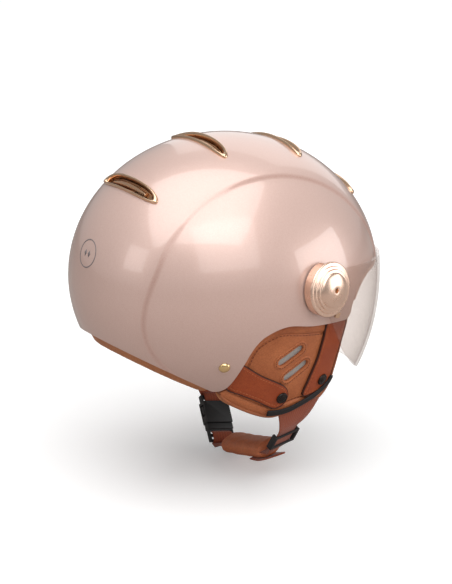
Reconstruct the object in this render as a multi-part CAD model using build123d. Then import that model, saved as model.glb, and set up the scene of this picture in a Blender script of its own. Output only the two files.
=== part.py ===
from build123d import *
import os
from math import atan, cos, degrees, radians, sin

# An open face helmet. The shell is an egg shape whose middle is the modelling origin while the
# pieces are drawn; each piece is then lowered so that the crown of the head is at zero.
# The front is -Y, the wearer's left is +X and up is +Z. Sizes are in millimetres.

# shell
half_width = 109.4
half_length = 133.6
half_height = 115.6
nose_down = 8.8
band_half = 63.5
side_step = 1.3
wall = 4.2
foam_gap = 0.2
foam = 18.8
lining = 5.8
crown = 85.1

# face opening, ear arch and rear rim, as seen from the side
brow_level = 8
brow_radius = 32
brow_middle = -90
temple = (-54, -24.5)
rim_corner = (60, -70.6)
rim_slope = 0.597

# vents
vent_half = 33
vent_front = 11
vent_back = 4.5
vent_frame = 2.6
vent_proud = 2.0
vent_places = [(93.5, 86.1), (26.2, 114.7), (-48.7, 106.1), (-105, 66.5)]

# visor and its pivots
visor_half = (113.2, 131.4, 174.7)
visor_middle = (0, 2, 21.3)
visor_turn = -20.9
visor_wall = 2.0
pivot_y = -25
pivot_z = 9.7
ear_radius = 15
boss_radius = 5
boss_top = 113.2
hub_bottom = 113.8
bolt_radius = 1.5
cap_radius = 22
cap_level = 112.9
cap_facing = (0.98, -0.18, 0.07)

# ear flaps: layers of a big drum that leans inwards towards the jaw
drum_radius = 130
drum_middle = (-20.5, -8, 30)
drum_lean = degrees(atan(0.3))
leather = 1.8
mesh = 0.6
pad = 8.0
binding = 2.2
strap = 1.9
stud_radius = 4.9

flap_edge = [
    (-57, -17),
    (-61, -30),
    (-59.5, -48),
    (-57.8, -70),
    (-53, -89),
    (-38, -98.5),
    (-16, -98.6),
    (3, -101.5),
    (20, -96),
    (40, -84.5),
    (49, -76),
]

# chin strap
webbing_width = 22
webbing_thick = 1.6
flap_tip = (73, -20, -107)
webbing_neck = (-69.5, -18.5, -116)
slider_middle = (-61, -17.5, -130)
slider_run = 13.5
sleeve_right = (-44, -19, -145)
sleeve_left = (20, -18, -161)
sleeve_end_gap = 2.5
buckle_bottom = (36, -21, -165)
buckle_top = (62, -28, -136)
slider_way = (0, -0.936, 0.353)
sleeve_way = (0, -0.97, 0.24)
buckle_way = (0, -0.99, -0.1)
reach = 170


def egg(inset=0.0):
    """The shell's egg shape, taken in by an even amount."""
    ball = scale(Sphere(1), by=(half_width - inset, half_length - inset, half_height - inset))
    return Rot(nose_down, 0, 0) * ball


def visor_egg(inset=0.0):
    """The bubble that the visor is cut from."""
    ball = scale(Sphere(1), by=tuple(half - inset for half in visor_half))
    return Pos(*visor_middle) * Rot(visor_turn, 0, 0) * ball


def side_cut(face):
    """A side outline pushed right through the helmet."""
    return extrude(Plane.YZ * face, reach, both=True)


def left_cut(face):
    """A side outline pushed out to the wearer's left only."""
    return extrude(Plane.YZ * face, reach)


def both(piece):
    """A left piece and its mirror image on the right, as one node."""
    return Compound(children=[*piece.solids(), *mirror(piece, about=Plane.YZ).solids()])


def shell_outline():
    """The side outline of everything above the rim."""
    turn = radians(8)
    low = (brow_middle + brow_radius * cos(turn), brow_level - brow_radius + brow_radius * sin(turn))
    halfway = radians(49)
    mid = (
        brow_middle + brow_radius * cos(halfway),
        brow_level - brow_radius + brow_radius * sin(halfway),
    )
    top = (brow_middle, brow_level)
    back_edge = 150
    back_level = rim_corner[1] + rim_slope * (back_edge - rim_corner[0])
    edges = [
        Line((-back_edge, brow_level), top),
        ThreePointArc(top, mid, low),
        Line(low, temple),
        Spline(temple, (-15, -20.5), (10, -16.3), (28, -21.5), (37, -31), (42, -46), (46, -64)),
        ThreePointArc((46, -64), (51, -72.5), rim_corner),
        Line(rim_corner, (back_edge, back_level)),
        Line((back_edge, back_level), (back_edge, back_edge)),
        Line((back_edge, back_edge), (-back_edge, back_edge)),
        Line((-back_edge, back_edge), (-back_edge, brow_level)),
    ]
    return make_face(edges)


def vent_plane(place):
    """A plane on the crown line at a vent, with its X along the vent."""
    y, z = place
    tilt = radians(nose_down)
    along = y * cos(tilt) + z * sin(tilt)
    up = -y * sin(tilt) + z * cos(tilt)
    out_y = along / half_length**2
    out_z = up / half_height**2
    normal = (0, out_y * cos(tilt) - out_z * sin(tilt), out_y * sin(tilt) + out_z * cos(tilt))
    return Plane(origin=(0, y, z), x_dir=(1, 0, 0), z_dir=normal)


def boat(length_half, front, back):
    """A long boat outline: a round front side, a flatter rear side and blunt ends."""
    blunt = 1.8
    right, left = length_half - 0.6, 0.6 - length_half
    edges = [
        ThreePointArc((left, blunt - 1), (0, back), (right, blunt - 1)),
        ThreePointArc((right, blunt - 1), (length_half, -0.3), (right, -blunt)),
        ThreePointArc((right, -blunt), (0, -front), (left, -blunt)),
        ThreePointArc((left, -blunt), (-length_half, -0.3), (left, blunt - 1)),
    ]
    return make_face(edges)


def vent_core(place, inset=0.0, deep=14):
    """A boat shaped plug through the shell at a vent, taken in by an even amount."""
    face = boat(vent_half - 1.6 * inset, vent_front - inset, vent_back - inset)
    return extrude(vent_plane(place) * face, deep, both=True)


def air_channel(place):
    """A narrow slot through the liners under a vent."""
    face = Pos(0, -3) * SlotOverall(40, 7)
    return extrude(vent_plane(place) * face, 40, both=True)


def outer_shell():
    """The shell: a raised middle band, lower sides, four vent holes and the fixing holes."""
    band = egg() & Box(2 * band_half, 400, 400)
    body = (egg(side_step) + band) & side_cut(shell_outline())
    body -= egg(side_step + wall)
    for place in vent_places:
        body -= vent_core(place, -0.1)
    body -= Pos(0, pivot_y, pivot_z) * Rot(0, 90, 0) * Cylinder(4.1, 400)
    for rivet in rivet_planes():
        body -= rivet * Cylinder(2.1, 40)
    return body


def foam_outline():
    """The side outline of the foam, which stops short of the shell's rim all round."""
    back = 150
    lift = 9
    start = (57, rim_corner[1] + rim_slope * (57 - rim_corner[0]) + lift)
    far = (back, rim_corner[1] + rim_slope * (back - rim_corner[0]) + lift)
    return make_face(
        Polyline(
            (-back, brow_level + lift),
            (-86, brow_level + lift),
            (-62, 7),
            (-50, -11),
            (-15, -10),
            (12, -7),
            (33, -13),
            (46, -29),
            (52, -50),
            start,
            far,
            (back, back),
            (-back, back),
            close=True,
        )
    )


def foam_liner():
    """The foam that takes the blow, with an air channel under each vent."""
    outline = foam_outline()
    body = egg(side_step + wall + foam_gap) & side_cut(outline)
    body -= egg(side_step + wall + foam_gap + foam)
    for place in vent_places:
        body -= air_channel(place)
    body -= Pos(0, pivot_y, pivot_z) * Rot(0, 90, 0) * Cylinder(4.6, 400)
    for rivet in rivet_planes():
        body -= rivet * Cylinder(6, 24)
    return body


def crown_liner():
    """The padded lining over the crown of the head."""
    top = Pos(0, 0, 100) * Box(400, 400, 120)
    start = side_step + wall + foam + 2 * foam_gap
    body = (egg(start) - egg(start + lining)) & top
    for place in vent_places:
        body -= air_channel(place)
    return body


def brow_band():
    """The padded band against the forehead and temples."""
    start = side_step + wall + foam + 2 * foam_gap
    slab = Pos(0, -75, 27.5) * Box(400, 150, 23)
    return (egg(start) - egg(start + lining)) & slab


def neck_roll():
    """The padded roll that closes the shell's rear rim."""
    start = side_step + wall + foam_gap
    roll = egg(start) - egg(start + 15)
    drop = 5.5
    rise = 8.7
    back = 150
    y = rim_corner[0] - 6
    line = rim_corner[1] + rim_slope * (y - rim_corner[0])
    far = rim_corner[1] + rim_slope * (back - rim_corner[0])
    outline = Polyline((y, line - drop), (back, far - drop), (back, far + rise), (y, line + rise), close=True)
    return roll & side_cut(make_face(outline))


def brow_trim():
    """The edging that covers the shell's cut edge over the face."""
    outline = shell_outline()
    strip = offset(outline, 1.6) - outline
    front = Pos(0, -109, 30) * Box(400, 100, 80)
    zone = egg(side_step - 0.4) - egg(side_step + wall + 0.6)
    return (zone & side_cut(strip)) & front


def vent_bezel(place):
    """The polished frame of one vent."""
    ring = vent_core(place) - vent_core(place, vent_frame)
    return ring & (egg(-vent_proud) - egg(side_step + wall))


def vent_insert(place):
    """The dark plate with louvre slots inside one vent frame."""
    plate = vent_core(place, vent_frame + 0.1)
    plate &= egg(2.4) - egg(side_step + wall)
    for step in range(-3, 4):
        plate -= vent_plane(place) * Pos(6.2 * step, -3, 0) * Box(3.2, 5, 40)
    return plate


def visor_outline():
    """The side outline of the visor, ear included."""
    top_ear = (pivot_y + 1, pivot_z + ear_radius)
    low_ear = (pivot_y + 3, pivot_z - ear_radius + 0.3)
    edges = [
        Line(top_ear, (-160, 7)),
        Line((-160, 7), (-160, -94)),
        Line((-160, -94), (-128, -92)),
        Spline((-128, -92), (-105, -88), (-75, -72), (-50, -48.5), (-38.5, -31.7)),
        Line((-38.5, -31.7), low_ear),
        Line(low_ear, (pivot_y, pivot_z)),
        Line((pivot_y, pivot_z), top_ear),
    ]
    return make_face(edges) + Pos(pivot_y, pivot_z) * Circle(ear_radius)


def visor():
    """The clear bubble with a round ear and a pivot hole at each end."""
    body = (visor_egg() - visor_egg(visor_wall)) & side_cut(visor_outline())
    return body - Pos(0, pivot_y, pivot_z) * Rot(0, 90, 0) * Cylinder(boss_radius + 0.08, 400)


def visor_tabs():
    """The small stop tab on each side of the visor, under its cap."""
    block = Pos(110, pivot_y - 10.5, pivot_z - 24) * Rot(20, 0, 0) * Box(40, 5, 4.4)
    return both(block & (visor_egg(-1.8) - visor_egg(-0.02)))


def axis_rod(radius, low, high):
    """A round rod on the left pivot axis, between two distances from the middle."""
    return Pos((low + high) / 2, pivot_y, pivot_z) * Rot(0, 90, 0) * Cylinder(radius, high - low)


def pivot_base():
    """The dark seat on the shell, with the boss that the visor turns on."""
    seat = axis_rod(18, 90, 125) & (egg(0.1) - egg(side_step))
    body = seat + (axis_rod(boss_radius, 90, boss_top) - egg(side_step))
    return body - axis_rod(bolt_radius + 0.1, 80, 130)


def cap_plane():
    """The plane of the left cap's rim."""
    return Plane(origin=(cap_level, pivot_y, pivot_z), x_dir=(0.18, 0.98, 0), z_dir=cap_facing)


def pivot_cap():
    """A stepped, domed disc with a skirt behind it and a hub that the bolt clamps."""
    edges = [
        Polyline((0.0, 3.2), (11.5, 2.6), (16, -0.2), (20, -1.4), (22, -1.4), (22, -0.1), (21.2, 0.6)),
        Polyline((21.2, 0.6), (18.9, 0.7), (18.6, 1.9), (16.6, 2.1), (16.3, 3.4), (14.2, 3.6), (13.7, 4.7)),
        ThreePointArc((13.7, 4.7), (7.2, 6.5), (0.0, 7.1)),
        Line((0.0, 7.1), (0.0, 3.2)),
    ]
    disc = revolve(Plane.XZ * make_face(edges), Axis.Z)
    skirt = Pos(0, 0, -5.9) * (Cylinder(cap_radius - 0.4, 9.6) - Cylinder(cap_radius - 2, 9.6))
    skirt &= Pos(25.6, 0, -5.4) * Box(45, 100, 8.2)
    body = cap_plane() * (disc + skirt)
    body -= egg(-0.4)
    body += axis_rod(6, hub_bottom, 116)
    body -= axis_rod(bolt_radius + 0.1, 90, 130)
    return body - axis_rod(2.0, 115.2, 130)


def pivot_bolts():
    """The bolt on each side that holds a cap to its insert."""
    shank = axis_rod(bolt_radius, 99, 115.2)
    head = axis_rod(1.9, 115.2, 116.9) - Pos(117, pivot_y, pivot_z) * Rot(0, 90, 0) * Box(1.3, 1.3, 2)
    return both(shank + head)


def pivot_washers():
    """The spring washer between each boss and its cap."""
    return both(axis_rod(4.6, boss_top, hub_bottom) - axis_rod(bolt_radius + 0.1, 90, 130))


def thread_inserts():
    """The threaded insert in each side of the shell."""
    sleeve = (axis_rod(4.0, 98, 112) & egg(side_step)) - axis_rod(bolt_radius, 80, 130)
    return both(sleeve)


def rivet_plane():
    """The plane of the left strap rivet, square to the shell."""
    return Plane(origin=(85.9, 56.4, -47.2), x_dir=(0.379, -0.823, 0), z_dir=(0.823, 0.379, -0.421))


def rivet_planes():
    """The places of both strap rivets."""
    left = rivet_plane()
    origin = left.origin
    facing = left.z_dir
    right = Plane(
        origin=(-origin.X, origin.Y, origin.Z),
        x_dir=(0.379, 0.823, 0),
        z_dir=(-facing.X, facing.Y, facing.Z),
    )
    return [left, right]


def button(radius, height):
    """A low domed button that stands on its plane."""
    disc = Pos(0, 0, height / 2) * Cylinder(radius, height)
    return fillet(disc.edges().filter_by(GeomType.CIRCLE).sort_by(Axis.Z)[-1], 0.8 * height)


def strap_rivets():
    """The domed rivet on each side of the shell."""
    rivet = Pos(0, 0, 0.3) * button(4.6, 2.4) + Pos(0, 0, -3.2) * Cylinder(2, 7.6)
    return both(rivet_plane() * rivet)


def rivet_washers():
    """The washer inside the shell at each rivet."""
    ring = Pos(0, 0, -6.3) * (Cylinder(5, 0.8) - Cylinder(2.02, 2))
    return both(rivet_plane() * ring)


def drum(radius):
    """A long drum on the leaning axis of the ear flap."""
    return Pos(*drum_middle) * Rot(0, drum_lean, 0) * Cylinder(radius, 500)


def layer(outer, inner):
    """The flap layer between two depths, measured out from the flap's leather face."""
    return drum(drum_radius + outer) - drum(drum_radius + inner)


def pushed(points, amount):
    """The points of a run pushed sideways, to the left of its direction in the side view."""
    moved = []
    for spot, (y, z) in enumerate(points):
        before = points[max(spot - 1, 0)]
        after = points[min(spot + 1, len(points) - 1)]
        run_y = after[0] - before[0]
        run_z = after[1] - before[1]
        length = (run_y**2 + run_z**2) ** 0.5
        moved.append((y - amount * run_z / length, z + amount * run_y / length))
    return moved


def flap_outline():
    """The side outline of the ear flap, with its top edge tucked up inside the shell."""
    edges = [
        Spline(*flap_edge),
        Spline(flap_edge[-1], (44.2, -69), (43, -61), (45, -50), (39.5, -29), (28, -18), (10, -12.5)),
        Spline((10, -12.5), (-15, -16.5), (-40, -19.3), flap_edge[0]),
    ]
    return make_face(edges)


def on_flap(face, outer, inner):
    """A side outline as a layer on the left ear flap."""
    return layer(outer, inner) & left_cut(face)


def slot_outlines():
    """The two ear slots."""
    upper = Pos(-2.5, -46.8) * Rot(0, 0, -32) * SlotOverall(21, 4.6)
    lower = Pos(-10.6, -62.2) * Rot(0, 0, -32) * SlotOverall(21, 4.6)
    return [upper, lower]


def ear_flap():
    """The leather face of the left flap with its two slots."""
    face = flap_outline()
    for slot in slot_outlines():
        face -= slot
    return on_flap(face, 0, -leather)


def flap_mesh():
    """The mesh patch behind the two slots."""
    return on_flap(Pos(-6.5, -54.5) * Rot(0, 0, -32) * RectangleRounded(34, 32, 6), -leather, -leather - mesh)


def flap_pad():
    """The padded back of the left flap."""
    return on_flap(flap_outline(), -leather - mesh, -leather - mesh - pad)


def flap_binding():
    """The rolled edge round the left flap, below the shell."""
    inner = flap_edge[1:-1]
    outer = pushed(inner, -binding)
    edges = [Spline(*inner), Line(inner[-1], outer[-1]), Spline(*outer[::-1]), Line(outer[0], inner[0])]
    return on_flap(make_face(edges) - flap_outline(), 0.6, -leather - mesh - pad)


def front_strap():
    """The leather covered strap down the front of the left flap."""
    edges = Polyline(
        (-34, -27.5), (-51, -28.5), (-57.5, -33), (-56.5, -50),
        (-52, -80), (-49.5, -87), (-22, -87), (-31, -56), close=True
    )
    return on_flap(make_face(edges), strap + 0.05, 0.05)


def rear_strap():
    """The leather covered strap from the shell's rear to the left flap's tip."""
    edges = [
        Polyline((41, -48), (36.5, -50), (21.5, -61), (4, -71)),
        Spline((4, -71), (-6.5, -80), (-5, -91), (6.8, -93)),
        Polyline((6.8, -93), (17, -86.5), (37, -75.5), (44.3, -71), (43, -60), (41, -48)),
    ]
    return on_flap(make_face(edges), strap + 0.05, 0.05)


def drum_plane(y, z, lift):
    """A plane square to the flap's face at a side place, lifted off it."""
    lean = radians(drum_lean)
    radius = drum_radius + lift
    across = y - drum_middle[1]
    out = (radius**2 - across**2) ** 0.5
    x = drum_middle[0] + (out + (z - drum_middle[2]) * sin(lean)) / cos(lean)
    facing = (cos(lean) * out / radius, across / radius, -sin(lean) * out / radius)
    return Plane(origin=(x, y, z), x_dir=(0, 1, -facing[1] / facing[2] if facing[2] else 0), z_dir=facing)


def snap_studs():
    """The snap stud on each of the four flap straps."""
    stud = button(stud_radius, 2.2)
    front = drum_plane(-41, -77.5, strap + 0.15) * stud
    rear = drum_plane(0, -84.6, strap + 0.15) * stud
    pair = [*both(front).solids(), *both(rear).solids()]
    return Compound(children=pair)


def flap_band():
    """The black band along the left flap's lower front edge."""
    edges = [
        Spline((9, -94.4), (-8, -94.6), (-30, -88.6), (-46.5, -81.5)),
        Line((-46.5, -81.5), (-50.5, -75.5)),
        Line((-50.5, -75.5), (-55.5, -76.5)),
        Line((-55.5, -76.5), (-52.5, -86)),
        Spline((-52.5, -86), (-33, -94.4), (-10, -100), (10, -99)),
        Line((10, -99), (9, -94.4)),
    ]
    return on_flap(make_face(edges), strap + 1.6, strap + 0.25)


def place_along(start, end, width_way):
    """A frame at start, with Z towards end and X along the strap's width."""
    way = Vector(*end) - Vector(*start)
    across = Vector(*width_way)
    across = across - way.normalized() * across.dot(way.normalized())
    return Plane(origin=start, x_dir=across, z_dir=way)


def strap_run(start, end, width_way, width=webbing_width, thick=webbing_thick):
    """A flat straight strap from start to end."""
    length = (Vector(*end) - Vector(*start)).length
    frame = place_along(start, end, width_way)
    return frame * Pos(0, 0, length / 2) * Box(width, thick, length)




def fan(top, plane_way, neck):
    """The wide webbing under a flap's tip, narrowing to the strap's own width."""
    wide = Plane(origin=top, x_dir=(0, -1, 0), z_dir=plane_way) * Rectangle(38, 1.8)
    return loft([wide, neck * Rectangle(webbing_width, webbing_thick)])


def slider_after():
    """The point where the straight run through the slider ends."""
    way = (Vector(*slider_middle) - Vector(*webbing_neck)).normalized()
    return tuple(Vector(*slider_middle) + way * slider_run)


def plug_foot():
    """The place where the webbing meets the buckle's lower bar."""
    return tuple((buckle_frame() * Pos(0, 0, -23.5)).position)


def chin_webbing():
    """One strap from the right flap, through the slider and the sleeve, to the buckle's plug."""
    top = (-flap_tip[0], flap_tip[1], flap_tip[2])
    neck = place_along(webbing_neck, slider_middle, slider_way)
    body = fan(top, (3.5, 1.5, -10.5), neck)
    body += strap_run(webbing_neck, slider_after(), slider_way)
    body += strap_run(slider_after(), sleeve_right, sleeve_way)
    body += strap_run(sleeve_right, sleeve_left, sleeve_way)
    body += strap_run(sleeve_left, plug_foot(), buckle_way)
    loop = Box(webbing_width - 1.4, 7, 6.4) - Box(webbing_width, 4.2, 3.2)
    return body + buckle_frame() * Pos(0, 0, -20.9) * loop


def slider_frame():
    """The frame on the right webbing, with Z along the strap."""
    frame = place_along(webbing_neck, slider_middle, slider_way)
    run = (Vector(*slider_middle) - Vector(*webbing_neck)).length
    return frame * Pos(0, 0, run)


def slider():
    """The three bar slider: outer bars over the webbing and a middle bar under it."""
    rail = 2.4
    wide = webbing_width + 1.0 + 2 * rail
    side = webbing_width / 2 + 0.5 + rail / 2
    body = Pos(side, 0, 0) * Box(rail, 5.2, 15) + Pos(-side, 0, 0) * Box(rail, 5.2, 15)
    for end in (-6.2, 6.2):
        body += Pos(0, 1.9, end) * Box(wide, 1.4, 2.6)
    body += Pos(0, -1.9, 0) * Box(wide, 1.4, 3)
    return slider_frame() * body


def strap_tail():
    """The loose end of the webbing, turned back under the sleeve."""
    corner = (-51, -20, -152)
    drop = strap_run((-59, -18, -142.5), corner, (0, -0.95, 0.1), webbing_width, 1.4)
    return drop + strap_run(corner, (-31, -20, -157.8), (0, -0.95, 0.1), webbing_width, 1.4)


def chin_sleeve():
    """The padded sleeve under the chin."""
    length = (Vector(*sleeve_left) - Vector(*sleeve_right)).length
    frame = place_along(sleeve_right, sleeve_left, sleeve_way)
    core = Pos(0, 0, sleeve_end_gap) * extrude(Ellipse(12.4, 7.6), length - 2 * sleeve_end_gap)
    tunnel = Pos(0, 0, length / 2) * Box(webbing_width + 0.6, 2.2, length + 10)
    return frame * (core - tunnel)


def buckle_frame():
    """The buckle's frame: X across, Y through its thickness, Z up the strap."""
    low = Vector(*buckle_bottom)
    high = Vector(*buckle_top)
    return place_along(tuple((low + high) * 0.5), tuple(high), buckle_way)


def left_webbing():
    """The webbing from the left flap's tip down to the buckle's top bar."""
    frame = buckle_frame()
    neck = frame * Pos(0, 0, 23.6)
    loop = frame * Pos(0, 0, 19.8) * (Box(webbing_width - 1.4, 7.2, 8.8) - Box(webbing_width, 4.4, 5.6))
    return fan(flap_tip, (-8, -9, -27), neck) + loop


def buckle_socket():
    """The socket half, with a side window each side and a bar for the webbing."""
    body = Pos(0, 0, 5) * Box(25, 8.6, 20) + Pos(0, 0, 17.6) * Box(25, 4, 7)
    body -= Pos(0, 0, 3.5) * Box(20.6, 5, 17.2)
    body -= Pos(0, 0, 7) * Box(40, 5, 10)
    body -= Pos(0, 0, 16.6) * Box(21, 12, 3.4)
    return buckle_frame() * body


def buckle_plug():
    """The plug half, with a tongue and a ladder frame for the webbing."""
    body = Pos(0, 0, -8.2) * Box(25, 6.4, 5.6) + Pos(0, 0, 0) * Box(5, 3.4, 20)
    body += Pos(0, 0, -16) * Box(25, 3.6, 12)
    for rung in (-13.6, -18.6):
        body -= Pos(0, 0, rung) * Box(21, 10, 2.8)
    return buckle_frame() * body


def buckle_prong(side):
    """One sprung prong with the pad that shows in the socket's window."""
    arm = Pos(side * 7.2, 0, 2.2) * Box(2.8, 3.6, 14.6)
    catch = Pos(side * 10.3, 0, 7) * Box(4.4, 3.6, 8)
    return buckle_frame() * (arm + catch)


def write(name, piece):
    """Lowers a piece so that the crown of the head is at zero, and saves it."""
    placed = Pos(0, 0, -crown) * piece
    export_step(placed, f"parts/{name}.step")


def main():
    """Builds every piece and saves each in a file of its own."""
    os.makedirs("parts", exist_ok=True)
    write("outer_shell", outer_shell())
    write("foam_liner", foam_liner())
    write("crown_liner", crown_liner())
    write("brow_band", brow_band())
    write("neck_roll", neck_roll())
    write("brow_trim", brow_trim())
    for number, place in enumerate(vent_places, 1):
        write(f"vent_bezel_{number}", vent_bezel(place))
        write(f"vent_insert_{number}", vent_insert(place))
    write("visor", visor())
    write("visor_tabs", visor_tabs())
    write("pivot_bolts", pivot_bolts())
    write("pivot_washers", pivot_washers())
    write("thread_inserts", thread_inserts())
    write("strap_rivets", strap_rivets())
    write("rivet_washers", rivet_washers())
    write("snap_studs", snap_studs())
    sided = {
        "pivot_base": pivot_base(),
        "pivot_cap": pivot_cap(),
        "ear_flap": ear_flap(),
        "flap_mesh": flap_mesh(),
        "flap_pad": flap_pad(),
        "flap_binding": flap_binding(),
        "front_strap": front_strap(),
        "rear_strap": rear_strap(),
        "flap_band": flap_band(),
    }
    for name, piece in sided.items():
        write(f"{name}_left", piece)
        write(f"{name}_right", mirror(piece, about=Plane.YZ))
    write("chin_webbing", chin_webbing())
    write("slider", slider())
    write("strap_tail", strap_tail())
    write("chin_sleeve", chin_sleeve())
    write("left_webbing", left_webbing())
    write("buckle_socket", buckle_socket())
    write("buckle_plug", buckle_plug())
    write("buckle_prong_front", buckle_prong(1))
    write("buckle_prong_rear", buckle_prong(-1))


main()
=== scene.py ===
import math

import bmesh
import bpy
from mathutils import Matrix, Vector, noise


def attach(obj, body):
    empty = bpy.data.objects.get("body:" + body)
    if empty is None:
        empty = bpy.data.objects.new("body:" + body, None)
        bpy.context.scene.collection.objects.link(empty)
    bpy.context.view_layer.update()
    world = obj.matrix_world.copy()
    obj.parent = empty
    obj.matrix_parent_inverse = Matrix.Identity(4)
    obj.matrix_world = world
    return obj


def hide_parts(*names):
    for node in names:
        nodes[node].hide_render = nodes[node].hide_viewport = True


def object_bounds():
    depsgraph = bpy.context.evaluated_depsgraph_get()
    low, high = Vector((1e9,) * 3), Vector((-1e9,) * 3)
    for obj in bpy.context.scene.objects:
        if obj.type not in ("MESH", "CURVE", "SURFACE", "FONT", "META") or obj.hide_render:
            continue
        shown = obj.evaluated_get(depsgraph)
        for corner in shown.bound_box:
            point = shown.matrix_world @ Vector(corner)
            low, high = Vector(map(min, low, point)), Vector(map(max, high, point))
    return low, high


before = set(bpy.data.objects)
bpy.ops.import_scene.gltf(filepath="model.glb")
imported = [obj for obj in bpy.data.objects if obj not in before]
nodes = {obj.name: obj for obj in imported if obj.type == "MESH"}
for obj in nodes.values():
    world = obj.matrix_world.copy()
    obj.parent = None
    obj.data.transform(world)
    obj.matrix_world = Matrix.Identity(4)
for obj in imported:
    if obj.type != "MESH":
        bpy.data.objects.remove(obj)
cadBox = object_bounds()
print("frame loaded:", len(nodes), "nodes")

# the sizes below are in millimetres from the middle of the shell's egg shape, which sits this far under
# the crown
crownDrop = 85.1


def at(x, y, z):
    return Vector((x, y, z - crownDrop)) * 0.001


def turned(x, y, z, degrees):
    a = math.radians(degrees)
    return x, y * math.cos(a) - z * math.sin(a), y * math.sin(a) + z * math.cos(a)


studio = {
    "cameraPlace": (-1278.8, 839.95, 468.2),
    "lens": 120.0,
    "shiftX": 0.0027,
    "shiftY": -0.0354,
    "skyColour": (1.0, 0.99, 0.985),
    "skyStrength": 0.36,
    "backdropStrength": 1.0,
    "floorReach": 6.0,
    "floorGap": 0.002,
    "floorSeen": (0.93, 0.93, 0.93),
    "floorMirrored": (0.40, 0.36, 0.34),
    "glowFrom": (0.25, 0.16),  # distance from the middle, and the paper's own light there
    "glowTo": (1.8, 0.62),
    "lamps": {
        "keyLamp": {"place": (-350, 250, 1200), "size": 1.7, "power": 19, "aim": (0, 0, 0)},
        "sideLamp": {"place": (-1250, 250, 850), "size": 1.1, "power": 5.0, "aim": (0, 0, 0)},
        "lowLamp": {"place": (-950, -1250, -20), "size": 1.1, "power": 9.0, "aim": (-60, -20, -60)},
        "backLamp": {"place": (-150, 1450, 520), "size": 0.5, "power": 1.2, "aim": (0, 0, 0)},
        "fillLamp": {"place": (900, -900, 700), "size": 1.2, "power": 3.0, "aim": (0, 0, 0)},
    },
}


def aimed(name, data, place, aim):
    thing = bpy.data.objects.new(name, data)
    bpy.context.scene.collection.objects.link(thing)
    thing.location = at(*place)
    thing.rotation_mode = "QUATERNION"
    thing.rotation_quaternion = (at(*aim) - thing.location).to_track_quat("-Z", "Y")
    return thing


def makeCamera():
    data = bpy.data.cameras.new("camera")
    data.lens = studio["lens"]
    data.sensor_width = 36
    data.sensor_fit = "AUTO"
    data.shift_x = studio["shiftX"]
    data.shift_y = studio["shiftY"]
    data.clip_start = 0.05
    bpy.context.scene.camera = aimed("camera", data, studio["cameraPlace"], (0, 0, 0))


def makeSky():
    # the backdrop is white to look at, and the light that falls from it is softer
    world = bpy.data.worlds.new("sky")
    bpy.context.scene.world = world
    world.use_nodes = True
    tree = world.node_tree
    background = tree.nodes["Background"]
    background.inputs["Color"].default_value = (*studio["skyColour"], 1)
    background.inputs["Strength"].default_value = studio["skyStrength"]
    backdrop = tree.nodes.new("ShaderNodeBackground")
    backdrop.inputs["Strength"].default_value = studio["backdropStrength"]
    path = tree.nodes.new("ShaderNodeLightPath")
    either = tree.nodes.new("ShaderNodeMixShader")
    tree.links.new(path.outputs["Is Camera Ray"], either.inputs[0])
    tree.links.new(background.outputs[0], either.inputs[1])
    tree.links.new(backdrop.outputs[0], either.inputs[2])
    tree.links.new(either.outputs[0], tree.nodes["World Output"].inputs["Surface"])


def floorPaint():
    # the paper is white to look at, glows more with distance, and is darker in reflections
    paint = bpy.data.materials.new("floorPaint")
    paint.use_nodes = True
    tree = paint.node_tree
    shader = tree.nodes["Principled BSDF"]
    shader.inputs["Roughness"].default_value = 0.9
    shader.inputs["Specular IOR Level"].default_value = 0.1
    shader.inputs["Emission Strength"].default_value = 1.0
    path = tree.nodes.new("ShaderNodeLightPath")
    tone = tree.nodes.new("ShaderNodeMix")
    tone.data_type = "RGBA"
    tone.inputs[6].default_value = (*studio["floorMirrored"], 1)
    tone.inputs[7].default_value = (*studio["floorSeen"], 1)
    spot = tree.nodes.new("ShaderNodeTexCoord")
    far = tree.nodes.new("ShaderNodeVectorMath")
    far.operation = "LENGTH"
    ramp = tree.nodes.new("ShaderNodeMapRange")
    for end, (distance, light) in (("Min", studio["glowFrom"]), ("Max", studio["glowTo"])):
        ramp.inputs[f"From {end}"].default_value = distance
        ramp.inputs[f"To {end}"].default_value = light
    glow = tree.nodes.new("ShaderNodeMath")
    glow.operation = "MULTIPLY"
    tree.links.new(path.outputs["Is Camera Ray"], tone.inputs[0])
    tree.links.new(tone.outputs[2], shader.inputs["Base Color"])
    tree.links.new(spot.outputs["Object"], far.inputs[0])
    tree.links.new(far.outputs["Value"], ramp.inputs["Value"])
    tree.links.new(ramp.outputs[0], glow.inputs[0])
    tree.links.new(path.outputs["Is Camera Ray"], glow.inputs[1])
    tree.links.new(glow.outputs[0], shader.inputs["Emission Color"])
    return paint


def makeFloor():
    low = cadBox[0].z - studio["floorGap"]
    reach = studio["floorReach"]
    corners = [(-reach, -reach, low), (reach, -reach, low), (reach, reach, low), (-reach, reach, low)]
    mesh = bpy.data.meshes.new("floor")
    mesh.from_pydata(corners, [], [(0, 1, 2, 3)])
    mesh.materials.append(floorPaint())
    floor = bpy.data.objects.new("floor", mesh)
    bpy.context.scene.collection.objects.link(floor)


def makeLamps():
    for name, lamp in studio["lamps"].items():
        light = bpy.data.lights.new(name, "AREA")
        light.size = lamp["size"]
        light.energy = lamp["power"]
        aimed(name, light, lamp["place"], lamp["aim"])


makeCamera()
makeSky()
makeFloor()
makeLamps()
print("camera, floor and lights made")


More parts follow.
